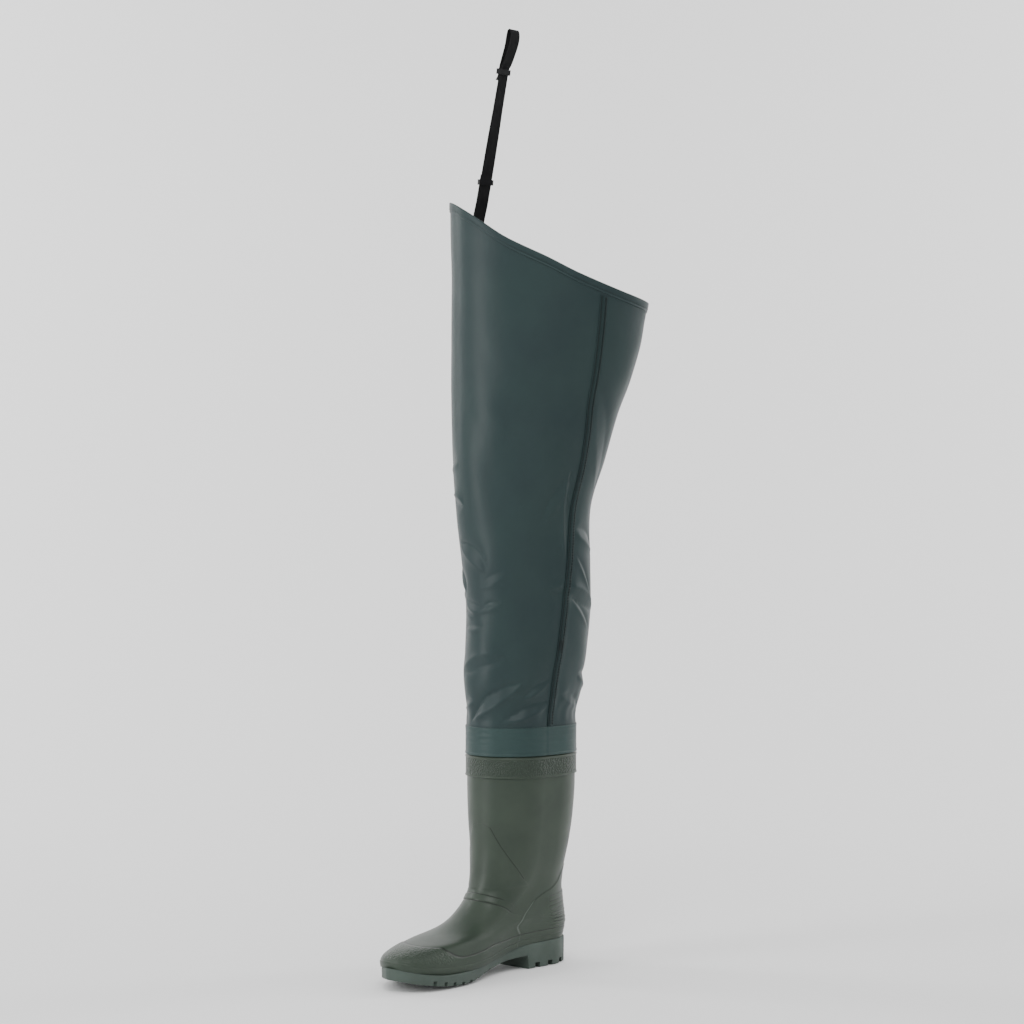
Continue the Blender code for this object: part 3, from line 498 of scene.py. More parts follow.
def boot_material():
    made, tree, shader = new_material("boot_pvc", BOOT_GREEN, BOOT_DARK, 0.43, 45.0, 0.28)
    stipple = read_mark(tree, "stipple")
    ground = shader.inputs["Base Color"].links[0].from_socket
    tinted = mix_colours(tree, read_mark(tree, "band"), ground, (*BAND_GREEN, 1))
    # The edge lines darken the colour: painted shade in the grooves at the relief's edges and between the
    # heel ribs.
    lines = 0.0
    for line in SHADED_EDGE_LINES:
        drawn = use_group(tree, line_group, in_0=read_mark(tree, line), in_1=0.9).outputs["Mask"]
        lines = math_node(tree, "MAXIMUM", drawn, lines)
    edge_shade_share = math_node(tree, "MULTIPLY", lines, 0.8)
    edge_shaded = mix_colours(tree, edge_shade_share, tinted, (*EDGE_SHADE_GREEN, 1))
    # A painted highlight: a light line along the heel counter's front edge, where the raised edge would catch
    # the light.
    counter_highlight = use_group(tree, line_group, in_0=read_mark(tree, "bright"), in_1=0.8).outputs["Mask"]
    highlight_share = math_node(tree, "MULTIPLY", counter_highlight, 0.7)
    lit = mix_colours(tree, highlight_share, edge_shaded, (*EDGE_HIGHLIGHT_GREEN, 1))
    tree.links.new(lit, shader.inputs["Base Color"])
    place = add_node(tree, "ShaderNodeTexCoord").outputs["Object"]
    dots = add_node(tree, "ShaderNodeTexVoronoi", in_Vector=place, in_Scale=1000 / 2.4)
    raised = math_node(tree, "SUBTRACT", 1.0, dots.outputs["Distance"])
    dotted = math_node(tree, "MULTIPLY", raised, stipple)
    skin = use_group(tree, grain_group, in_0=1.4, in_1=2.0)
    first = add_bump(tree, skin.outputs["Height"], 0.10, 0.2)
    second = add_bump(tree, dotted, 0.9, 1.3, first)
    third = add_bump(tree, math_node(tree, "SUBTRACT", 1.0, lines), 0.5, 0.5, second)
    tree.links.new(third.outputs["Normal"], shader.inputs["Normal"])
    shader.inputs["Coat Weight"].default_value = 0.07
    shader.inputs["Coat Roughness"].default_value = 0.26
    return made


boot_pvc = boot_material()
sole_pvc = grained_material("sole_pvc", SOLE_GREEN, SOLE_DARK, 0.55, 25.0, 0.28, 0.9, 3.0, 0.22, 0.25)
print("materials:", boot_pvc.name, sole_pvc.name)

# %% [markdown]
# ## The boot
#
# The mould leaves low relief on the boot: a rand along the sole, a toe cap, a band over the instep, a
# panel on the shin, a counter with ribs round the heel, and the collar band with its two beads. All of
# it is a height over the plain skin, so it is worked out as one number for each point of the grid.

# %% The boot's relief
ReliefRow = namedtuple("ReliefRow", "place edge")
SHIN_PANEL = rows_of(ReliefRow, [
    (9.75, 0.185), (10.3, 0.155), (11.0, 0.122), (11.5, 0.094), (12.0, 0.066), (12.45, 0.045),
    (12.7, 0.033), (12.82, 0.0),
])
HEEL_COUNTER = rows_of(ReliefRow, [
    (2.3, 0.268), (4.9, 0.254), (6.6, 0.254), (8.1, 0.262), (8.7, 0.290), (9.0, 0.325), (9.5, 0.356),
    (10.4, 0.385), (10.8, 0.440), (11.1, 0.5),
])
RandRow = namedtuple("RandRow", "turn place")
RAND_EDGE = rows_of(RandRow, [
    (0.0, 3.9), (0.086, 3.8), (0.122, 3.2), (0.152, 2.6), (0.176, 2.3), (0.206, 2.5), (0.224, 2.7),
    (0.254, 2.4), (0.5, 2.2),
])
RAND_RISE = 0.7
RELIEF_RISE = 0.8
BAND_STEP = (9.12, 9.60)
BAND_REACH = 0.12
BAND_DIP = 40.0
HEEL_RIBS = (3.2, 3.95, 4.7, 5.4, 6.05, 6.7, 7.3, 7.9)
RIB_GAPS = (2.85, 3.57, 4.32, 5.05, 5.72, 6.37, 7.0, 7.6, 8.2)
RIB_HALF = 0.34
RIB_RISE = 1.7
RIB_START = 0.30
COLLAR_BAND = (244.5, 270.5)
BAND_RISE = 1.6
BEAD = 2.5
BEAD_RISE = 2.4
WELT_GROOVE = 1.25


def boot_relief(places, turns, heights):
    """How far the relief stands over the boot's skin, in millimetres, and the two stippled areas."""
    side = np.minimum(turns, 1 - turns)[None, :]
    place = places[:, None]
    rise = np.zeros((len(places), len(turns)))

    edge = read_table(RAND_EDGE, "place", side)
    rise += RAND_RISE * step((edge - place) / 0.12)
    rise -= 0.5 * np.exp(-(((place - WELT_GROOVE) / 0.10) ** 2))

    panel = read_table(SHIN_PANEL, "edge", place)
    on_panel = step((panel - side) / 0.008 + 0.5) * step((place - 9.75) / 0.2) * step((12.82 - place) / 0.06)
    rise += RELIEF_RISE * 0.8 * on_panel

    counter = read_table(HEEL_COUNTER, "edge", place)
    on_counter = step((side - counter) / 0.008 + 0.5) * step((place - 2.3) / 0.1) * step((11.1 - place) / 0.1)
    rise += RELIEF_RISE * on_counter

    bent = place + BAND_DIP * side ** 2
    on_band = step((bent - BAND_STEP[0]) / 0.05) * step((BAND_STEP[1] - bent) / 0.05)
    rise += RELIEF_RISE * 0.9 * on_band * step((BAND_REACH - side) / 0.02)
    line = np.exp(-(((bent - BAND_STEP[0]) / 0.05) ** 2)) * step((0.235 - side) / 0.02)
    rise -= 0.35 * line

    for rib in HEEL_RIBS:
        near = np.clip(1 - ((place - rib) / RIB_HALF) ** 2, 0, 1) ** 0.45
        rise += (RIB_RISE - RELIEF_RISE) * near * step((side - RIB_START) / 0.03)

    low, high = COLLAR_BAND
    rise += BAND_RISE * step((heights - low) / 0.7 + 0.5) * step((high - heights) / 0.7 + 0.5)
    for bead in (low + BEAD / 2, high - BEAD / 2):
        near = np.clip(1 - ((heights - bead) / (BEAD / 2)) ** 2, 0, 1) ** 0.6
        rise += (BEAD_RISE - BAND_RISE) * near
    within = step(heights - low - BEAD) * step(high - BEAD - heights)
    toe = step((edge - place) / 0.3) * step((0.165 - side) / 0.02) * step((place - 1.5) / 0.2)
    return rise, within, toe * 0.6

# %% [markdown]
# ## Lines that stay crisp
#
# The photo shows a thin dark line at most edges of the relief. Modelling it would take far more
# points, and colour stored at the points would blur. So each point stores its distance to each edge,
# and the material draws a line where that distance is small. Between points the distance changes
# evenly, so the line stays thin.

# %% Edge lines: painted shade and a painted highlight
# The dark lines are painted shade in the grooves at the relief's edges and between the heel ribs; the bright
# one is a painted highlight along the heel counter's front edge.
PERIMETER = 330.0
LOW_PITCH = 5.5
INSTEP_PITCH = 17.0
FAR = 40.0


def boot_lines(places, turns):
    """Distance in millimetres to each edge of the relief. It changes sign on the edge itself."""
    side = np.minimum(turns, 1 - turns)[None, :]
    place = places[:, None]
    bent = place + BAND_DIP * side ** 2
    rand = (read_table(RAND_EDGE, "place", side) - place) * LOW_PITCH
    shin = (read_table(SHIN_PANEL, "edge", place) - side) * PERIMETER
    counter = (side - read_table(HEEL_COUNTER, "edge", place)) * PERIMETER
    high = (bent - BAND_STEP[1]) * INSTEP_PITCH * (1 + 9 * step((side - 0.115) / 0.03))
    low = (bent - BAND_STEP[0]) * INSTEP_PITCH * (1 + 9 * step((side - 0.19) / 0.04))
    shin = shin * (1 + 9 * step((10.4 - place) / 0.4)) - FAR * step((place - 12.84) / 0.05)
    # bright marks the heel counter's front edge, where the material paints a highlight.
    bright = counter * (1 + 9 * step((2.7 - place) / 0.3)) * (1 + 9 * step((place - 7.9) / 0.8))
    counter = counter * (1 + 9 * step((8.3 - place) / 0.8)) - FAR * step((place - 11.1) / 0.1)
    phase = np.interp(place, RIB_GAPS, np.arange(len(RIB_GAPS)))
    past = step((RIB_START + 0.02 - side) / 0.02) + step((2.8 - place) / 0.1) + step((place - 8.25) / 0.1)
    ribs = np.sin(math.pi * phase) * 1.8 + FAR * past
    lines = {
        "rand": rand, "shin": shin, "counter": counter, "instep_high": high, "instep_low": low,
        "ribs": ribs, "bright": bright,
    }
    whole = np.zeros((len(places), len(turns)))
    return {name: whole + value for name, value in lines.items()}

# %% [markdown]
# ## One closed skin
#
# The boot is hollow, with a wall of 2.4 mm. The outside runs up, the inside runs down again, and the
# two are joined at both ends, so one grid makes a closed skin without a Boolean. Rows lie close
# together at the toe and the beads, and far apart where the shaft is plain.

# %% The boot's mesh
BOOT_COLUMNS = 288
low_places = np.linspace(0, 4, 62)[:-1]
mid_places = np.concatenate([
    np.linspace(4, 8.2, 74)[:-1], np.linspace(8.2, 10.0, 40)[:-1], np.linspace(10.0, COLLAR_RING, 34)[:-1],
])
collar_heights = np.concatenate([
    np.arange(238.0, 243.5, 1.8), np.arange(243.7, 248.0, 0.45), np.arange(248.5, 266.5, 1.8),
    np.arange(267.2, 272.0, 0.45), np.arange(273.0, 307.1, 6.8),
])
collar_places = COLLAR_RING + (collar_heights - 238.0) / (307.0 - 238.0)
boot_places = np.concatenate([low_places, mid_places, collar_places])
boot_turns = np.arange(BOOT_COLUMNS) / BOOT_COLUMNS
plain = boot_points(boot_places, boot_turns)
direction = outward(plain)
rise, on_band, on_toe = boot_relief(boot_places, boot_turns, plain[..., 2])
boot_outside = plain + direction * rise[..., None]
inner_rows = np.linspace(len(boot_places) - 1, 0, 50).astype(int)
boot_inside = plain[inner_rows] - direction[inner_rows] * BOOT_WALL
inner_marks = np.zeros((len(inner_rows), BOOT_COLUMNS))
marks = {
    "stipple": np.concatenate([np.maximum(on_band, on_toe), inner_marks]),
    "band": np.concatenate([step(on_band * 2), inner_marks]),
}
for line, distance in boot_lines(boot_places, boot_turns).items():
    marks[line] = np.concatenate([distance, inner_marks + FAR])
boot_mesh = lay_grid("boot_shell", [boot_outside, boot_inside], loop=True, marks=marks)
add_piece("boot_shell", boot_mesh, boot_pvc, "boot_pvc", "boot_upper")

# %% [markdown]
# ## The outsole
#
# The sole is lofted from heel to toe through cross-sections with a plain side and a rounded edge. Its
# heel channels and the chevron tread are cut afterwards with an exact Boolean, as the
# mould would leave them.

# %% The outsole
HEEL_CHANNELS = (68.0, 46.0, 24.0)
HEEL_CHANNEL_WIDTH = 8.0
HEEL_CHANNEL_DEPTH = 7.0
TREAD_FIRST = 168.0
TREAD_PITCH = 15.5
TREAD_ROWS = 8
TREAD_WIDTH = 5.0
TREAD_DEPTH = 6.0
TREAD_SWEEP = 11.0


def sole_section(station):
    """A cross-section of the outsole, from the outer top edge down and round to the inner one."""
    inner = float(read_table(SOLE_OUTLINE, "inner", station))
    outer = -float(read_table(SOLE_OUTLINE, "outer", station))
    tight = min((inner - outer) / 8, 1.0)
    top = float(sole_top(station))
    bottom = float(read_table(SOLE_PROFILE, "bottom", station))
    crown = float(read_table(SOLE_PROFILE, "crown", station))
    edge = bottom + crown
    side = [
        (1.0, top), (0.4, top - 0.2), (0.0, top - 0.9), (0.0, top * 0.75 + edge * 0.25),
        (0.15, (top + edge) / 2), (0.3, top * 0.25 + edge * 0.75), (0.4, edge + 1.3), (0.6, edge + 0.5),
        (1.3, edge),
    ]
    half = (inner - outer) / 2
    under = [(half * share, bottom + crown * (1 - share) ** 3) for share in (0.12, 0.25, 0.45, 0.7)]
    left = [(outer + inset * tight, z) for inset, z in side] + [(outer + inset, z) for inset, z in under]
    right = [(inner - inset, z) for inset, z in reversed(under)]
    right += [(inner - inset * tight, z) for inset, z in reversed(side)]
    return [(station, across, z) for across, z in left + right]


def prism(name, outline, low, high):
    """An upright prism over an outline of (station, across) points, as a cutter."""
    shape = bmesh.new()
    rings = []
    for z in (low, high):
        points = [((x - ORIGIN_STATION) * MM, y * MM, z * MM) for x, y in outline]
        rings.append([shape.verts.new(point) for point in points])
    shape.faces.new(list(reversed(rings[0])))
    shape.faces.new(rings[1])
    for i in range(len(outline)):
        j = (i + 1) % len(outline)
        shape.faces.new((rings[0][i], rings[0][j], rings[1][j], rings[1][i]))
    mesh = bpy.data.meshes.new(name)
    shape.to_mesh(mesh)
    shape.free()
    return new_object(name, mesh)


def sole_cutters():
    cutters = []
    half = HEEL_CHANNEL_WIDTH / 2
    for station in HEEL_CHANNELS:
        outline = [(station - half, -60), (station + half, -60), (station + half, 60), (station - half, 60)]
        cutters.append(prism("channel", outline, -5.0, HEEL_CHANNEL_DEPTH))
    swept = TREAD_SWEEP * 60 / 50
    for i in range(TREAD_ROWS):
        front = TREAD_FIRST + TREAD_PITCH * i
        back = front - TREAD_WIDTH
        outline = [
            (front, 0), (front - swept, 60), (back - swept, 60),
            (back, 0), (back - swept, -60), (front - swept, -60),
        ]
        roof = float(read_table(SOLE_PROFILE, "bottom", (front + back) / 2)) + TREAD_DEPTH
        cutters.append(prism("tread", outline, -8.0, roof))
    return cutters


def apply_modifiers(target):
    """Replaces a piece's mesh by what its modifiers make of it."""
    bpy.context.view_layer.update()
    shown = target.evaluated_get(bpy.context.evaluated_depsgraph_get())
    mesh = bpy.data.meshes.new_from_object(shown)
    target.modifiers.clear()
    target.data = mesh


heel_stations = 0.4 + 11.6 * (1 - np.cos(np.linspace(0, 1, 12) * math.pi / 2))
long_stations = np.concatenate([
    np.arange(14.0, 83.0, 3.0), [83.0, 83.6, 84.4, 85.0], np.arange(88.0, 250.0, 3.0),
])
toe_stations = 250 + 54.8 * np.sin(np.linspace(0, 1, 32) * math.pi / 2)
sections = [sole_section(float(s)) for s in np.concatenate([heel_stations, long_stations, toe_stations])]
sole_mesh = lay_grid("sole_moulding", np.array(sections)[:, ::-1])
close_ends(sole_mesh)
sole = add_piece("sole_moulding", sole_mesh, sole_pvc, "sole_pvc", "outsole")
cutters = sole_cutters()
for cutter in cutters:
    cut = sole.modifiers.new("cut", "BOOLEAN")
    cut.operation = "DIFFERENCE"
    cut.solver = "EXACT"
    cut.object = cutter
apply_modifiers(sole)
for cutter in cutters:
    bpy.data.objects.remove(cutter)
sole.data.set_sharp_from_angle(angle=math.radians(38))
print("outsole faces:", len(sole.data.polygons))

# %% [markdown]
# ## The insole
#
# A thin foam insole lies loose in the boot. It barely shows through the mouth, but it is there on the
# real thing. It follows the feather edge a few millimetres inside the wall.

# %% The insole
INSOLE_THICKNESS = 3.0
INSOLE_GAP = 0.7
insole_foam = grained_material(
    "insole_foam", (0.07, 0.07, 0.066), (0.05, 0.05, 0.048), 0.9, 20.0, 0.3, 0.7, 2.0, 0.5, 0.4
)
margin = BOOT_WALL + 1.2
feather = BOOT_RINGS[0]
half_turns = (0.035 + 0.93 * np.linspace(0, 1, 60)) / 2
rim_in = boot_points(np.zeros(1), half_turns)[0]
rim_out = boot_points(np.zeros(1), 1 - half_turns)[0]
middle = (feather.front + feather.back) / 2
shrink = 1 - 2 * margin / (feather.front - feather.back)
rows = []
for inside, outside in zip(rim_in, rim_out):
    station = middle + (inside[0] - middle) * shrink
    low = float(sole_top(station)) + INSOLE_GAP
    widths = np.linspace(outside[1] + margin, inside[1] - margin, 9)
    lid = [(station, y, low + INSOLE_THICKNESS) for y in widths]
    base = [(station, y, low) for y in widths[::-1]]
    rows.append(lid + base)
insole_mesh = lay_grid("insole_pad", np.array(rows)[:, ::-1])
close_ends(insole_mesh)
insole = add_piece("insole_pad", insole_mesh, insole_foam, "insole_foam", "insole")

# %% [markdown]
# ## The cloth leg
#
# The leg is a tube of coated nylon. Up to the boot's neck it is round, and above that it widens and
# its long axis turns from the line of the foot to the line of the hips. Each row of the table is an
# ellipse at one height, so the form can be measured row by row in the photo.

# %% The leg's sizes
LegRow = namedtuple("LegRow", "height along across half_long half_short turn slant")
LEG_ROWS = rows_of(LegRow, [
    (272.0, 62.5, 0.0, 76.0, 58.0, 0.0, 0.0), (308.0, 62.5, 0.0, 76.0, 58.0, 0.0, 0.0),
    (340.0, 62.1, 1.0, 79.0, 61.0, -8.0, 0.0), (377.0, 60.9, 2.3, 81.4, 64.0, -15.0, 0.0),
    (402.0, 59.4, 3.9, 80.7, 65.5, -20.0, 0.0), (464.0, 57.5, 5.8, 81.2, 68.0, -29.0, 0.0),
    (514.0, 58.6, 4.7, 82.9, 70.0, -35.0, 0.0), (577.0, 60.9, 2.3, 85.8, 72.0, -40.0, 0.0),
    (650.0, 56.6, 6.9, 98.0, 75.0, -44.0, 0.05), (715.0, 51.4, 12.4, 106.6, 77.0, -46.0, 0.2),
    (777.0, 46.0, 18.3, 115.0, 79.5, -47.0, 0.45), (840.0, 41.9, 22.7, 121.5, 81.5, -47.0, 0.7),
    (910.0, 38.8, 26.0, 127.0, 83.0, -47.0, 1.0),
])
LEG_BOTTOM = 272.1
LEG_TOP = 910.0
NECK_TOP = 308.0
ELLIPSE_FROM = 348.0
HemRow = namedtuple("HemRow", "reach rise")
HEM_LINE = rows_of(HemRow, [
    (-1.0, -64.0), (-0.7, -52.0), (-0.3, -32.0), (0.0, -13.0), (0.42, 13.0), (0.715, 39.0), (1.0, 65.0),
])
SeamRow = namedtuple("SeamRow", "height inner outer")
SEAM_ROWS = rows_of(SeamRow, [
    (300.0, 82.0, -95.0), (344.0, 82.5, -95.5), (406.0, 84.5, -96.0), (469.0, 87.0, -96.5),
    (519.0, 91.5, -97.0), (575.0, 95.5, -97.5), (626.0, 97.5, -98.0), (669.0, 96.5, -98.5),
    (740.0, 92.0, -99.0), (910.0, 88.0, -100.0),
])

neck_ring = boot_points(np.array([float(NECK_RING)]), np.linspace(0, 1, 721)[:-1])[0]
neck_away = neck_ring[:, :2] - [LEG_ROWS[0].along, LEG_ROWS[0].across]
neck_bearing = np.degrees(np.arctan2(neck_away[:, 1], neck_away[:, 0]))
neck_order = np.argsort(neck_bearing)
neck_bearing = neck_bearing[neck_order]
neck_radius = np.linalg.norm(neck_away, axis=1)[neck_order]


def leg_points(heights, bearings, rise=0.0):
    """Points of the leg's outside in millimetres. heights and bearings are grids of one shape."""
    row = {name: read_table(LEG_ROWS, name, heights) for name in LegRow._fields[1:]}
    around = np.radians(bearings - row["turn"])
    radius = row["half_long"] * row["half_short"] / np.hypot(
        row["half_short"] * np.cos(around), row["half_long"] * np.sin(around)
    )
    blend = step((heights - NECK_TOP) / (ELLIPSE_FROM - NECK_TOP))
    neck = np.interp(bearings, neck_bearing, neck_radius, period=360) + CLEARANCE + CLOTH
    radius = neck + (radius - neck) * blend
    reach = np.clip(radius * np.cos(around) / row["half_long"], -1, 1)
    slant = row["slant"] * read_table(HEM_LINE, "rise", reach)
    direction = np.radians(bearings)
    return np.stack(
        [
            row["along"] + (radius + rise) * np.cos(direction),
            row["across"] + (radius + rise) * np.sin(direction),
            heights + slant,
        ],
        axis=-1,
    )

# %% [markdown]
# ## Facets in the cloth
#
# Stiff coated cloth doesn't drape in small folds. It buckles into flat facets, shaped like a lens,
# with sharp edges and pointed ends. A noise texture can't make those, so each is a row of a table:
# its two ends, half its width, how far it tilts up (positive) or down (negative), and its bow. The
# ones that the photo shows were placed from it, and the rest are made up in the same manner.

# %% The facets, one by one
Facet = namedtuple("Facet", "bearing height to_bearing to_height width tilt bow")
FACETS = rows_of(Facet, [
    (-12, 315, 43, 365, 7.5, 0.50, 3.0), (44, 343, 76, 366, 4.0, 0.50, 1.5),
    (22, 312, 78, 339, 6.0, 0.50, 2.0), (-30, 374, 24, 398, 8.0, -0.22, 4.0),
    (-34, 330, -8, 340, 4.0, 0.40, 1.0), (-31, 467, 2, 455, 4.5, 0.45, -2.0),
    (-5, 455, 18, 464, 3.5, 0.42, 1.0), (-31, 452, -13, 446, 2.6, 0.40, 0.0),
    (-32, 430, 1, 433, 3.6, 0.35, 1.0), (-32, 540, 3, 505, 8.0, 0.34, 4.0),
    (-43, 508, -28, 478, 4.5, 0.45, 0.0), (-44, 598, -20, 587, 5.5, -0.38, 2.0),
    (-48, 632, -26, 640, 6.0, 0.22, 2.0), (-4, 483, 23, 503, 5.5, 0.20, 1.0),
    (63, 564, 92, 629, 6.0, 0.22, 2.0), (86, 634, 87, 516, 5.0, 0.60, 1.0),
    (68, 482, 140, 452, 8.0, -0.40, 7.0), (99, 524, 132, 465, 4.0, 0.50, 1.0),
    (93, 474, 130, 428, 3.5, 0.42, 1.0), (98, 558, 134, 531, 8.0, 0.30, 2.0),
    (96, 752, 124, 604, 9.0, 0.16, 3.0), (20, 664, 58, 690, 13.0, 0.06, 4.0),
    (-20, 700, 20, 676, 12.0, -0.06, 4.0), (96, 346, 138, 330, 6.0, 0.34, 2.0),
    (120, 372, 168, 350, 7.0, 0.36, 3.0), (150, 322, 206, 352, 7.0, 0.40, 3.0),
    (196, 372, 246, 340, 6.0, 0.36, 3.0), (226, 318, 272, 346, 6.5, 0.42, 2.0),
    (276, 350, 312, 326, 5.5, 0.36, 2.0), (150, 548, 206, 520, 9.0, 0.40, 5.0),
    (144, 512, 212, 500, 9.0, -0.36, 5.0), (156, 478, 216, 492, 7.0, 0.38, 4.0),
    (150, 452, 196, 436, 6.0, 0.34, 3.0), (206, 596, 250, 560, 8.0, 0.30, 4.0),
    (228, 520, 284, 548, 8.0, 0.32, 4.0), (226, 478, 276, 456, 7.0, 0.30, 3.0),
    (286, 500, 322, 470, 6.0, 0.36, 2.0), (170, 700, 206, 640, 10.0, 0.20, 4.0),
    (236, 720, 252, 620, 10.0, 0.18, 4.0),
])
FACET_RADIUS = 76.0
print("facets:", len(FACETS))


def facet_field(heights, bearings):
    """How far the facets push the cloth out, in millimetres: flat inside, fading out round them."""
    total = np.zeros_like(heights)
    for facet in FACETS:
        swing = math.radians(facet.to_bearing - facet.bearing) * FACET_RADIUS
        climb = facet.to_height - facet.height
        length = math.hypot(swing, climb)
        centre = (facet.bearing + facet.to_bearing) / 2
        x = np.radians(np.mod(bearings - centre + 180, 360) - 180) * FACET_RADIUS + swing / 2
        y = heights - facet.height
        share = (x * swing + y * climb) / length ** 2
        lens = np.clip(4 * share * (1 - share), 0, 1)
        over = (y * swing - x * climb) / length - facet.bow * lens
        half = facet.width * lens ** 0.75 + 0.01
        t = over / half
        fall = np.where(np.abs(t) <= 1, t, np.sign(t) * np.exp(-np.maximum(np.abs(t) - 1, 0) * 1.1))
        total -= facet.tilt * half * fall * (lens > 0)
    return total


def cloth_field(heights, bearings):
    """All of the cloth's relief: facets, slow waves and small puckers over the cuff."""
    turn = np.radians(bearings)
    waves = 0.7 * np.sin(3 * turn + heights / 61) + 0.5 * np.sin(5 * turn - heights / 37 + 1.0)
    waves += 0.35 * np.sin(9 * turn + heights / 19 + 2.0) * np.sin(heights / 83)
    fade = step((heights - NECK_TOP - 1) / 9) * step((LEG_TOP - 26 - heights) / 60)
    small = 0.25 * np.sin(23 * turn + 2.0 * np.sin(heights / 12)) * step((372 - heights) / 50)
    field = (facet_field(heights, bearings) + waves + small) * fade
    for side in ("inner", "outer"):
        middle = read_table(SEAM_ROWS, side, heights)
        away = np.abs(np.mod(bearings - middle + 180, 360) - 180)
        field *= 0.3 + 0.7 * step(away / 7 - 0.5)
    return field


# %% [markdown]
# ## The coated cloth
#
# The coating gives the nylon a cold, even sheen. The weave shows only close up, as a grain well under
# a millimetre. Small dents in the bump break the highlights up.

# %% Cloth and tape materials
CLOTH_GREEN = (0.018, 0.0335, 0.0335)
CLOTH_DARK = (0.0145, 0.0268, 0.0290)
TAPE_GREEN = (0.025, 0.048, 0.046)
TAPE_DARK = (0.019, 0.038, 0.037)
SEAM_GREEN = (0.009, 0.022, 0.022)
SEAM_DARK = (0.007, 0.017, 0.018)


def cloth_material(name, colour, dark, roughness, grain, ribbed=0.0):
    made, tree, shader = new_material(name, colour, dark, roughness, 90.0, 0.2)
    weave = use_group(tree, grain_group, in_0=grain, in_1=1.0)
    dents = use_group(tree, grain_group, in_0=22.0, in_1=2.0)
    first = add_bump(tree, weave.outputs["Height"], 0.18, 0.15)
    second = add_bump(tree, dents.outputs["Height"], 0.22, 1.6, first)
    if ribbed:
        place = add_node(tree, "ShaderNodeTexCoord").outputs["Object"]
        split = add_node(tree, "ShaderNodeSeparateXYZ", in_Vector=place)
        wobble = use_group(tree, grain_group, in_0=40.0, in_1=1.0)
        shifted = math_node(tree, "MULTIPLY_ADD", wobble.outputs["Height"], 0.006)
        tree.links.new(split.outputs["Z"], shifted.node.inputs[2])
        cycles = math_node(tree, "MULTIPLY", shifted, 2 * math.pi / (ribbed * MM))
        ribs = math_node(tree, "SINE", cycles)
        second = add_bump(tree, ribs, 0.3, 0.25, second)
    tree.links.new(second.outputs["Normal"], shader.inputs["Normal"])
    shader.inputs["Coat Weight"].default_value = 0.03
    shader.inputs["Coat Roughness"].default_value = 0.28
    return made


coated_cloth = cloth_material("coated_cloth", CLOTH_GREEN, CLOTH_DARK, 0.43, 0.5)
cuff_tape = cloth_material("cuff_tape", TAPE_GREEN, TAPE_DARK, 0.45, 0.6, 6.5)
seam_tape = cloth_material("seam_tape", SEAM_GREEN, SEAM_DARK, 0.5, 0.6)
print("materials:", coated_cloth.name, cuff_tape.name, seam_tape.name)

# %% [markdown]
# ## The leg as one sheet
#
# The cloth is half a millimetre thick, so the skin is laid outside and again half a millimetre in.
# A cloth simulation would let the leg sag, but the photo shows it standing stiffly, so its form
# comes straight from the table and the facets.

# %% The leg's mesh
LEG_COLUMNS = 288
leg_heights = np.concatenate([
    np.linspace(LEG_BOTTOM, NECK_TOP, 8)[:-1],
    np.linspace(NECK_TOP, 640, 170)[:-1],
    np.linspace(640, LEG_TOP, 56),
])
leg_bearings = np.arange(LEG_COLUMNS) * 360 / LEG_COLUMNS - 180
height_grid, bearing_grid = np.meshgrid(leg_heights, leg_bearings, indexing="ij")
plain = leg_points(height_grid, bearing_grid)
folds = cloth_field(height_grid, bearing_grid)
leg_direction = outward(plain)
leg_outside = plain + leg_direction * folds[..., None]
inner_rows = np.linspace(len(leg_heights) - 1, 0, 90).astype(int)
leg_inside = (leg_outside - leg_direction * CLOTH)[inner_rows]
leg_mesh = lay_grid("leg_cloth", [leg_outside, leg_inside], loop=True)
leg = add_piece("leg_cloth", leg_mesh, coated_cloth, "coated_cloth", "leg")
print("deepest fold:", round(float(folds.min()), 1), "highest:", round(float(folds.max()), 1))

# %% [markdown]
# ## Cuff and hem
#
# A band of tape welds the cloth to the boot's neck. It has a lip at its lower edge and faint lines that
# run round it, and its end laps over its start. At the top the cloth is folded over into a plain hem.

# %% Cuff and hem
HEM_HEIGHT = 12.0
Band = namedtuple("Band", "height rise")


BAND_COLUMNS = 240
HEM_FROM = 845.0
TAPE_START, TAPE_END = 146.0, 76.0
band_bearings = np.arange(BAND_COLUMNS) * 360 / BAND_COLUMNS - 180
ones = np.ones(BAND_COLUMNS)


def band_mesh(name, rows):
    """A band round the leg: rows of (heights, rise), then its inside, joined into one skin."""
    turns = band_bearings[None, :]
    outside = np.concatenate([leg_points(heights[None, :], turns, rise) for heights, rise in rows])
    low, high = rows[0][0], rows[-1][0]
    shares = np.linspace(1, 0, 6)[:, None]
    inner_heights = low[None, :] + (high - low)[None, :] * shares
    inside = leg_points(inner_heights, turns * np.ones((6, 1)), CLEARANCE)
    return lay_grid(name, [outside, inside], loop=True)


overlap = 0.55 * step((band_bearings - TAPE_END) / 2.0) * step((TAPE_START - band_bearings) / 60.0)
CUFF_ROWS = rows_of(Band, [
    (272.1, 0.5), (272.3, 1.3), (273.0, 1.55), (274.6, 1.5), (275.4, 1.0), (276.2, 0.9), (280.0, 0.9),
    (280.8, 1.1), (281.6, 0.9), (288.0, 0.9), (288.8, 1.05), (289.6, 0.9), (296.0, 0.9), (296.8, 1.05),
    (297.6, 0.9), (303.0, 0.95), (305.4, 1.2), (307.2, 1.25), (307.9, 0.9), (308.0, 0.5),
])
cuff_mesh = band_mesh("cuff_band", [(ones * row.height, row.rise + overlap) for row in CUFF_ROWS])
cuff = add_piece("cuff_band", cuff_mesh, cuff_tape, "seam_tape", "leg_cuff")

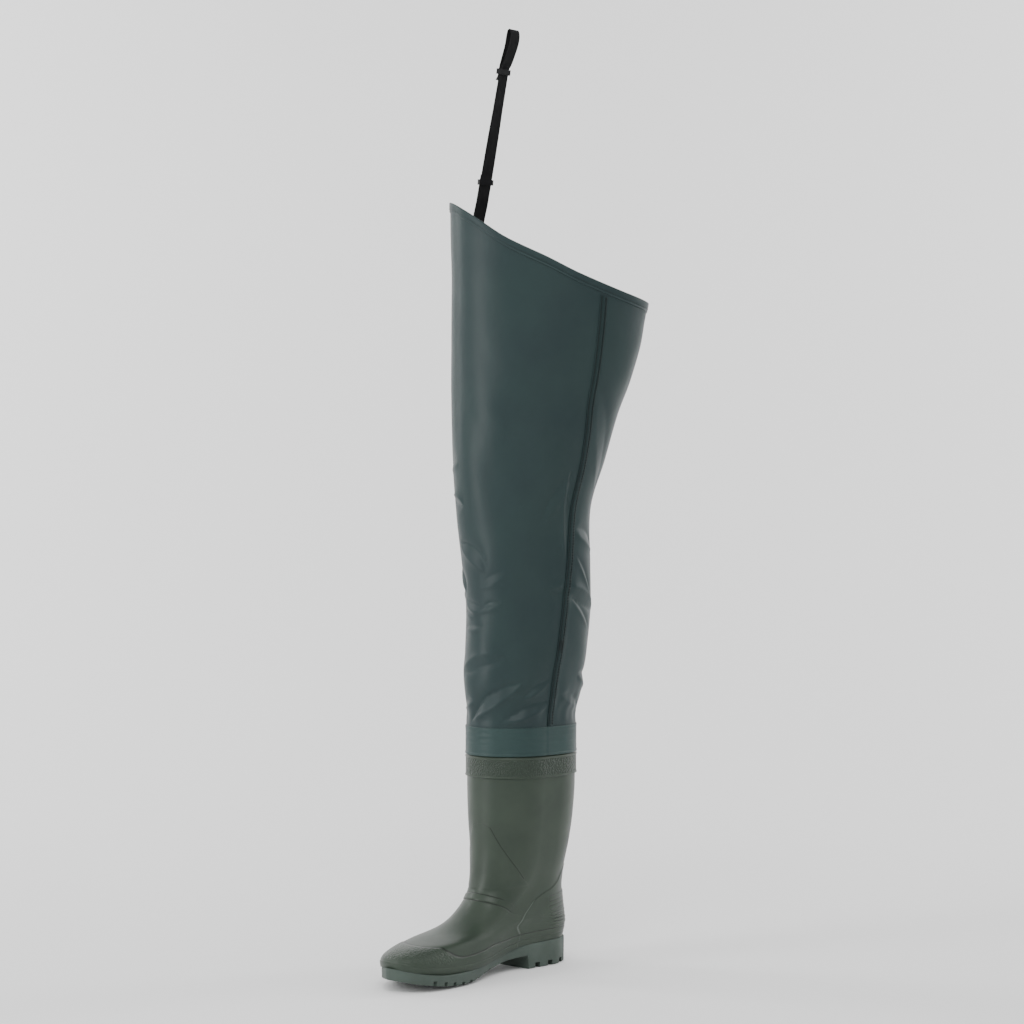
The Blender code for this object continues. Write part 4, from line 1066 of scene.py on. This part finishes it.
top_z = leg_points(ones * LEG_TOP, band_bearings)[:, 2]
low_z = leg_points(ones * HEM_FROM, band_bearings)[:, 2]
hem_drop = HEM_HEIGHT / (top_z - low_z) * (LEG_TOP - HEM_FROM)
HEM_ROWS = rows_of(Band, [
    (1.0, 0.4), (0.99, 0.85), (0.93, 0.95), (0.85, 0.9), (0.80, 0.7), (0.74, 0.95), (0.40, 1.1),
    (0.10, 1.05), (0.03, 0.9), (0.0, 0.6),
])
hem_mesh = band_mesh("hem_fold", [(LEG_TOP - hem_drop * row.height, row.rise) for row in HEM_ROWS])
hem = add_piece("hem_fold", hem_mesh, coated_cloth, "coated_cloth", "top_hem")

# %% [markdown]
# ## Seams and stitches
#
# Two seams run up the leg, one on each side. Each is a welded strip with a double row of stitches along
# both edges, and a block of stitches across it below the knee. A stitch is a small rounded bead of
# thread. All the stitches of a seam are one mesh, because hundreds of objects would only be slow.

# %% Seams
SEAM_WIDTH = 9.0
SEAM_GAP = 0.5
STITCH_LENGTH = 2.6
STITCH_PITCH = 3.6
STITCH_RADIUS = 0.36


def strip_points(heights, side, offsets, rise):
    """Points over the leg beside a seam's middle line. offsets are in millimetres round the leg."""
    middle = read_table(SEAM_ROWS, side, heights)
    centre = leg_points(heights, middle)
    across = np.linalg.norm(centre - leg_points(heights, middle + 180), axis=-1) / 2
    bearings = middle + np.degrees(offsets / across)
    folded = cloth_field(heights, np.mod(bearings + 180, 360) - 180)
    return leg_points(heights, bearings, folded + rise)


def seam_mesh(name, side, top):
    heights = np.arange(NECK_TOP + 0.6, top, 2.5)
    half = SEAM_WIDTH / 2
    offsets = np.array([-half, -half, -half + 0.5, -1.4, -0.7, 0.7, 1.4, half - 0.5, half, half])
    rises = np.array([0.0, 0.5, 0.8, 0.8, 1.25, 1.25, 0.8, 0.8, 0.5, 0.0]) + SEAM_GAP
    h, o = np.meshgrid(heights, offsets, indexing="ij")
    return lay_grid(name, strip_points(h, side, o, rises[None, :]))


def stitch_mesh(name, spots, length, radius):
    """Many small thread beads. Each spot is a middle point, a direction along and one straight out."""
    shape = bmesh.new()
    for middle, along, out in spots:
        side = np.cross(along, out)
        rings = []
        for share, size in ((-0.5, 0.25), (-0.36, 0.85), (0.0, 1.0), (0.36, 0.85), (0.5, 0.25)):
            ring = []
            for k in range(6):
                a = k * math.pi / 3
                offset = side * math.cos(a) * radius * size + out * math.sin(a) * radius * size
                point = (middle + along * share * length + offset) * MM
                point[0] -= ORIGIN_STATION * MM
                ring.append(shape.verts.new(point))
            rings.append(ring)
        shape.faces.new(list(reversed(rings[0])))
        shape.faces.new(rings[-1])
        for low, high in zip(rings, rings[1:]):
            for k in range(6):
                shape.faces.new((low[k], low[(k + 1) % 6], high[(k + 1) % 6], high[k]))
    bmesh.ops.recalc_face_normals(shape, faces=shape.faces)
    for face in shape.faces:
        face.smooth = True
    mesh = bpy.data.meshes.new(name)
    shape.to_mesh(mesh)
    shape.free()
    return mesh


def unit(v):
    return v / max(np.linalg.norm(v), 1e-9)


def thread_spots(here, beside, above, upright):
    """A stitch at each point of here. It lies up the leg if upright, or else round it."""
    spots = []
    for p, q, r in zip(here, beside, above):
        right, up = unit(q - p), unit(r - p)
        spots.append((p, up if upright else right, unit(np.cross(right, up))))
    return spots


def seam_stitches(side, heights, lines, rise, upright):
    spots = []
    for offset in lines:
        here, beside, above = (
            strip_points(heights + up, side, (offset + aside) * np.ones_like(heights), rise)
            for aside, up in ((0.0, 0.0), (0.5, 0.0), (0.0, 1.0))
        )
        spots += thread_spots(here, beside, above, upright)
    return spots


thread = grained_material(
    "thread", (0.007, 0.011, 0.011), (0.005, 0.008, 0.008), 0.6, 4.0, 0.2, 0.3, 1.0, 0.4, 0.1
)
STITCH_LINES = (-3.3, -2.3, 2.3, 3.3)
TACK_LINES = (-2.4, 0.0, 2.4)
TACK_HEIGHTS = np.arange(405.0, 418.0, 1.5)
for side in ("inner", "outer"):
    bearing_top = float(read_table(SEAM_ROWS, side, LEG_TOP))
    drop = float(np.interp(bearing_top, band_bearings, hem_drop, period=360))
    seam_top = LEG_TOP - drop * 1.12
    strip = seam_mesh(side + "_seam_strip", side, seam_top)
    add_piece(side + "_seam_strip", strip, seam_tape, "seam_tape", side + "_seam")
    stitch_heights = np.arange(NECK_TOP + 4.0, seam_top - 3.0, STITCH_PITCH)
    spots = seam_stitches(side, stitch_heights, STITCH_LINES, SEAM_GAP + 0.8 + 0.05, True)
    spots += seam_stitches(side, TACK_HEIGHTS, TACK_LINES, SEAM_GAP + 1.25, False)
    beads = stitch_mesh(side + "_seam_stitches", spots, STITCH_LENGTH, STITCH_RADIUS)
    add_piece(side + "_seam_stitches", beads, thread, "seam_tape")

# %% [markdown]
# ## The hem's stitches
#
# One row of stitches holds the hem. It runs along the slanted edge at a share of the height of the
# hem, so it stays parallel to the edge, with the same beads of thread as the seams.

# %% Hem stitches
HEM_STITCHES = 190
HEM_THREAD_RISE = 1.12


def hem_spots(share):
    """Places for one row of stitches round the hem, at a share of its height below the top edge."""
    bearings = np.arange(HEM_STITCHES) * 360 / HEM_STITCHES - 180
    heights = LEG_TOP - np.interp(bearings, band_bearings, hem_drop, period=360) * share
    here = leg_points(heights, bearings, HEM_THREAD_RISE)
    beside = leg_points(heights, bearings + 0.5, HEM_THREAD_RISE)
    above = leg_points(heights + 1.0, bearings, HEM_THREAD_RISE)
    return thread_spots(here, beside, above, False)


hem_stitches = stitch_mesh("hem_stitches", hem_spots(0.66), STITCH_LENGTH, STITCH_RADIUS * 0.8)
add_piece("hem_stitches", hem_stitches, thread, "seam_tape")

# %% [markdown]
# ## The strap
#
# The strap is elastic webbing. It is sewn inside the hem on the outer hip, doubled up to the lower
# slider, and runs on to a loop for the belt. Webbing is flat with thick edges, so its cross-section is
# a thin bar with rounded sides, swept along a curve. A cord would be too round, and a plain ribbon
# would have no edge. Two marks on the mesh, across and along the strap, carry the weave.

# %% The strap's sizes
STRAP_WIDTH = 16.0
STRAP_THICKNESS = 1.4
STRAP_BEARING = -76.0
STRAP_SEWN_FROM = 868.0
STRAP_SEWN_TO = 903.0
STRAP_TOP = (50.5, -30.5, 1205.0)
LAYER_SPACING = 2.0
SEWN_RADIUS = 108.0
StrapRow = namedtuple("StrapRow", "height turn")
STRAP_TURNS = rows_of(StrapRow, [
    (920.0, -8.0), (985.0, -20.0), (1018.0, -20.0), (1070.0, -12.0), (1100.0, -3.0), (1134.0, 0.0),
    (1205.0, 0.0),
])
LoopRow = namedtuple("LoopRow", "out height")
LOOP_PATH = rows_of(LoopRow, [
    (-0.3, 1154.5), (-2.6, 1158.5), (-4.8, 1165.0), (-7.0, 1173.5), (-9.0, 1182.0), (-9.9, 1190.0),
    (-9.4, 1196.5), (-7.6, 1201.0), (-5.0, 1203.4), (-2.8, 1202.2), (-1.9, 1197.0), (-1.9, 1190.0),
    (-1.6, 1181.0), (-0.2, 1171.0), (1.4, 1160.0), (2.0, 1153.5), (2.0, 1145.0), (2.8, 1141.5),
    (4.8, 1138.5),
])


def strap_inset(layer):
    return CLOTH + CLEARANCE + 0.4 + STRAP_THICKNESS / 2 + LAYER_SPACING * (1 - layer)


def sewn_row(height, layer):
    """The middle of the strap and its width direction where it is sewn inside the leg."""
    swing = math.degrees(STRAP_WIDTH / 2 / SEWN_RADIUS)
    bearings = STRAP_BEARING + swing * np.array([-1.0, 0.0, 1.0])
    points = leg_points(height * np.ones(3), bearings, -strap_inset(layer))
    return points[1], unit(points[2] - points[0])


strap_start = sewn_row(STRAP_SEWN_TO, 0)[0]


def strap_frame(height, out):
    """The middle of the strap and its width direction over the hem."""
    t = (height - strap_start[2]) / (STRAP_TOP[2] - strap_start[2])
    turn = math.radians(float(read_table(STRAP_TURNS, "turn", height)))
    across = np.array([math.cos(turn), math.sin(turn), 0.0])
    upward = unit(np.array(STRAP_TOP) - strap_start)
    outward_way = unit(np.cross(across, upward))
    middle = strap_start + (np.array(STRAP_TOP) - strap_start) * t
    return middle + outward_way * out, across


def flow(length, points, at):
    """A smooth curve through points, read at distances along it."""
    slopes = np.gradient(points, length, axis=0)
    return np.stack([cubic(length, points[:, k], slopes[:, k], at) for k in range(3)], axis=1)


def strap_mesh(name, stations):
    """A webbing strip through (middle, width direction) stations, with rounded, thicker edges."""
    middles = np.array([s[0] for s in stations])
    ways = np.array([s[1] for s in stations])
    length = np.concatenate([[0], np.cumsum(np.linalg.norm(np.diff(middles, axis=0), axis=1))])
    count = max(int(length[-1] / 1.6), len(stations) * 5)
    at = np.linspace(0, length[-1], count)
    fine = flow(length, middles, at)
    way = np.stack([np.interp(at, length, ways[:, k]) for k in range(3)], axis=1)
    way /= np.linalg.norm(way, axis=1, keepdims=True)
    tangent = np.gradient(fine, axis=0)
    tangent /= np.linalg.norm(tangent, axis=1, keepdims=True)
    out = np.cross(way, tangent)
    out /= np.linalg.norm(out, axis=1, keepdims=True)
    half = STRAP_WIDTH / 2
    thin = STRAP_THICKNESS / 2
    section = [
        (-1, 0.0), (-0.99, 0.7), (-0.95, 1.0), (-0.9, 0.95), (-0.84, 0.8), (-0.4, 0.82), (0, 0.84),
        (0.4, 0.82), (0.84, 0.8), (0.9, 0.95), (0.95, 1.0), (0.99, 0.7),
    ]
    section += [(-a, -b) for a, b in section]
    rows = np.stack([fine + way * a * half + out * b * thin for a, b in section], axis=1)
    across = np.tile([a * half + STRAP_WIDTH for a, _ in section], (count, 1))
    along = np.tile(at[:, None], (1, len(section)))
    print(name, "is", round(float(length[-1])), "mm long")
    mesh = lay_grid(name, rows, marks={"u": across, "v": along})
    close_ends(mesh)
    return mesh


# %% [markdown]
# ## Webbing and plastic
#
# Elastic webbing is dull and shows its weave close up. The sliders are moulded in black plastic, a
# little smoother. They are small and hard, so the solids of the frame are kept and only get a
# material and a bevel that rounds their edges.

# %% Webbing and plastic materials
def webbing_material():
    made, tree, shader = new_material(
        "webbing", (0.0085, 0.0085, 0.009), (0.006, 0.006, 0.0065), 0.8, 12.0, 0.12
    )
    weave = use_group(tree, weave_group, in_0=1.6, in_1=1.9)
    fuzz = use_group(tree, grain_group, in_0=0.35, in_1=2.0)
    first = add_bump(tree, weave.outputs["Height"], 0.6, 0.35)
    second = add_bump(tree, fuzz.outputs["Height"], 0.3, 0.15, first)
    tree.links.new(second.outputs["Normal"], shader.inputs["Normal"])
    return made


webbing = webbing_material()
black_plastic = grained_material(
    "black_plastic", (0.008, 0.008, 0.009), (0.006, 0.006, 0.007), 0.42, 8.0, 0.1, 0.5, 2.0, 0.25, 0.12
)
print("materials:", webbing.name, black_plastic.name)

# %% The strap and its sliders
STRAP_HEIGHTS = (985.0, 1018.0, 1040.0, 1070.0, 1100.0, 1136.0, 1150.0)
SEWN_HEIGHTS = (STRAP_SEWN_FROM, 886.0, STRAP_SEWN_TO)
stations = [sewn_row(height, 0) for height in SEWN_HEIGHTS]
stations += [strap_frame(height, 0.0) for height in STRAP_HEIGHTS]
stations += [strap_frame(row.height, row.out) for row in LOOP_PATH]
add_piece("strap_webbing", strap_mesh("strap_webbing", stations), webbing, "webbing", "strap")
tail_stations = [sewn_row(height, 1) for height in SEWN_HEIGHTS]
tail_stations += [strap_frame(height, LAYER_SPACING) for height in (985.0, 1018.0)]
tail_mesh = strap_mesh("strap_tail_webbing", tail_stations)
add_piece("strap_tail_webbing", tail_mesh, webbing, "webbing", "strap_tail")

for name in ("slider_lower", "slider_upper"):
    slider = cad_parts[name]
    slider.data.materials.clear()
    slider.data.materials.append(black_plastic)
    soften = slider.modifiers.new("soften", "BEVEL")
    soften.width = 0.35 * MM
    soften.segments = 2
    soften.limit_method = "ANGLE"

# %% [markdown]
# ## The soft leg
#
# The leg is one sheet of cloth, cut as a wedge and sewn into a tube. In use it hangs from the strap.

# %% [markdown]
# ## Floor and light
#
# The photo is a product shot on white: even, frontal light with long soft highlights. A pale floor that
# curves up behind the wader keeps the horizon out of sight. A large soft light stands at the camera's
# left and a weaker one at its right. One hangs in front, high up, where the facets that tilt up
# reflect it. Two more stand outside the picture, face away from the wader and brighten the backdrop.

# %% Floor
def sweep_mesh(name):
    """A floor that runs back and curves up into a wall, turned to face the camera."""
    profile = [(-9.0, 0.0), (1.2, 0.0)]
    for a in np.linspace(0, math.pi / 2, 16)[1:]:
        profile.append((1.2 + 1.2 * math.sin(a), 1.2 - 1.2 * math.cos(a)))
    profile += [(2.4, 4.5)]
    back = np.array([-math.cos(bearing), -math.sin(bearing)])
    side = np.array([-math.sin(bearing), math.cos(bearing)])
    grid = []
    for reach, height in profile:
        row = []
        for aside in (-9.0, 0.0, 9.0):
            spot = back * reach + side * aside
            row.append((spot[0] * 1000 + ORIGIN_STATION, spot[1] * 1000, height * 1000))
        grid.append(row)
    return lay_grid(name, np.array(grid), closed=False)


floor_material, *_ = new_material("floor", (0.93,) * 3, (0.92,) * 3, 0.85, 900.0, 0.1)
floor = new_object("floor", sweep_mesh("floor"))
floor.data.materials.append(floor_material)

# %% Lights
def soft_light(name, turn, distance, height, size, power, target=(0.03, 0.0, 0.6)):
    """A large area light that faces its target. turn is seen from the camera, left positive."""
    angle = bearing - math.radians(turn)
    data = bpy.data.lights.new(name, "AREA")
    data.shape = "RECTANGLE"
    data.size, data.size_y = size
    data.energy = power
    light = new_object(name, data)
    light.location = (distance * math.cos(angle), distance * math.sin(angle), height)
    aim = np.array(target) - np.array(light.location)
    flat = math.hypot(aim[0], aim[1])
    light.rotation_euler = (math.atan2(flat, -aim[2]), 0, math.atan2(-aim[0], aim[1]))


wall = (-2.2 * math.cos(bearing), -2.2 * math.sin(bearing), 0.9)
soft_light("key", 64, 2.6, 1.0, (0.7, 1.9), 29)
soft_light("fill", -80, 2.8, 1.1, (0.8, 2.0), 3)
soft_light("front", 4, 2.3, 2.7, (1.8, 1.2), 38)
soft_light("backdrop_left", 114, 2.5, 1.7, (0.6, 2.0), 30, wall)
soft_light("backdrop_right", -114, 2.5, 1.7, (0.6, 2.0), 30, wall)
world = bpy.data.worlds.new("studio")
world.use_nodes = True
world.node_tree.nodes["Background"].inputs["Color"].default_value = (1.0, 1.0, 1.0, 1)
world.node_tree.nodes["Background"].inputs["Strength"].default_value = 0.90
bpy.context.scene.world = world
print("lights:", [data.name for data in bpy.data.lights])
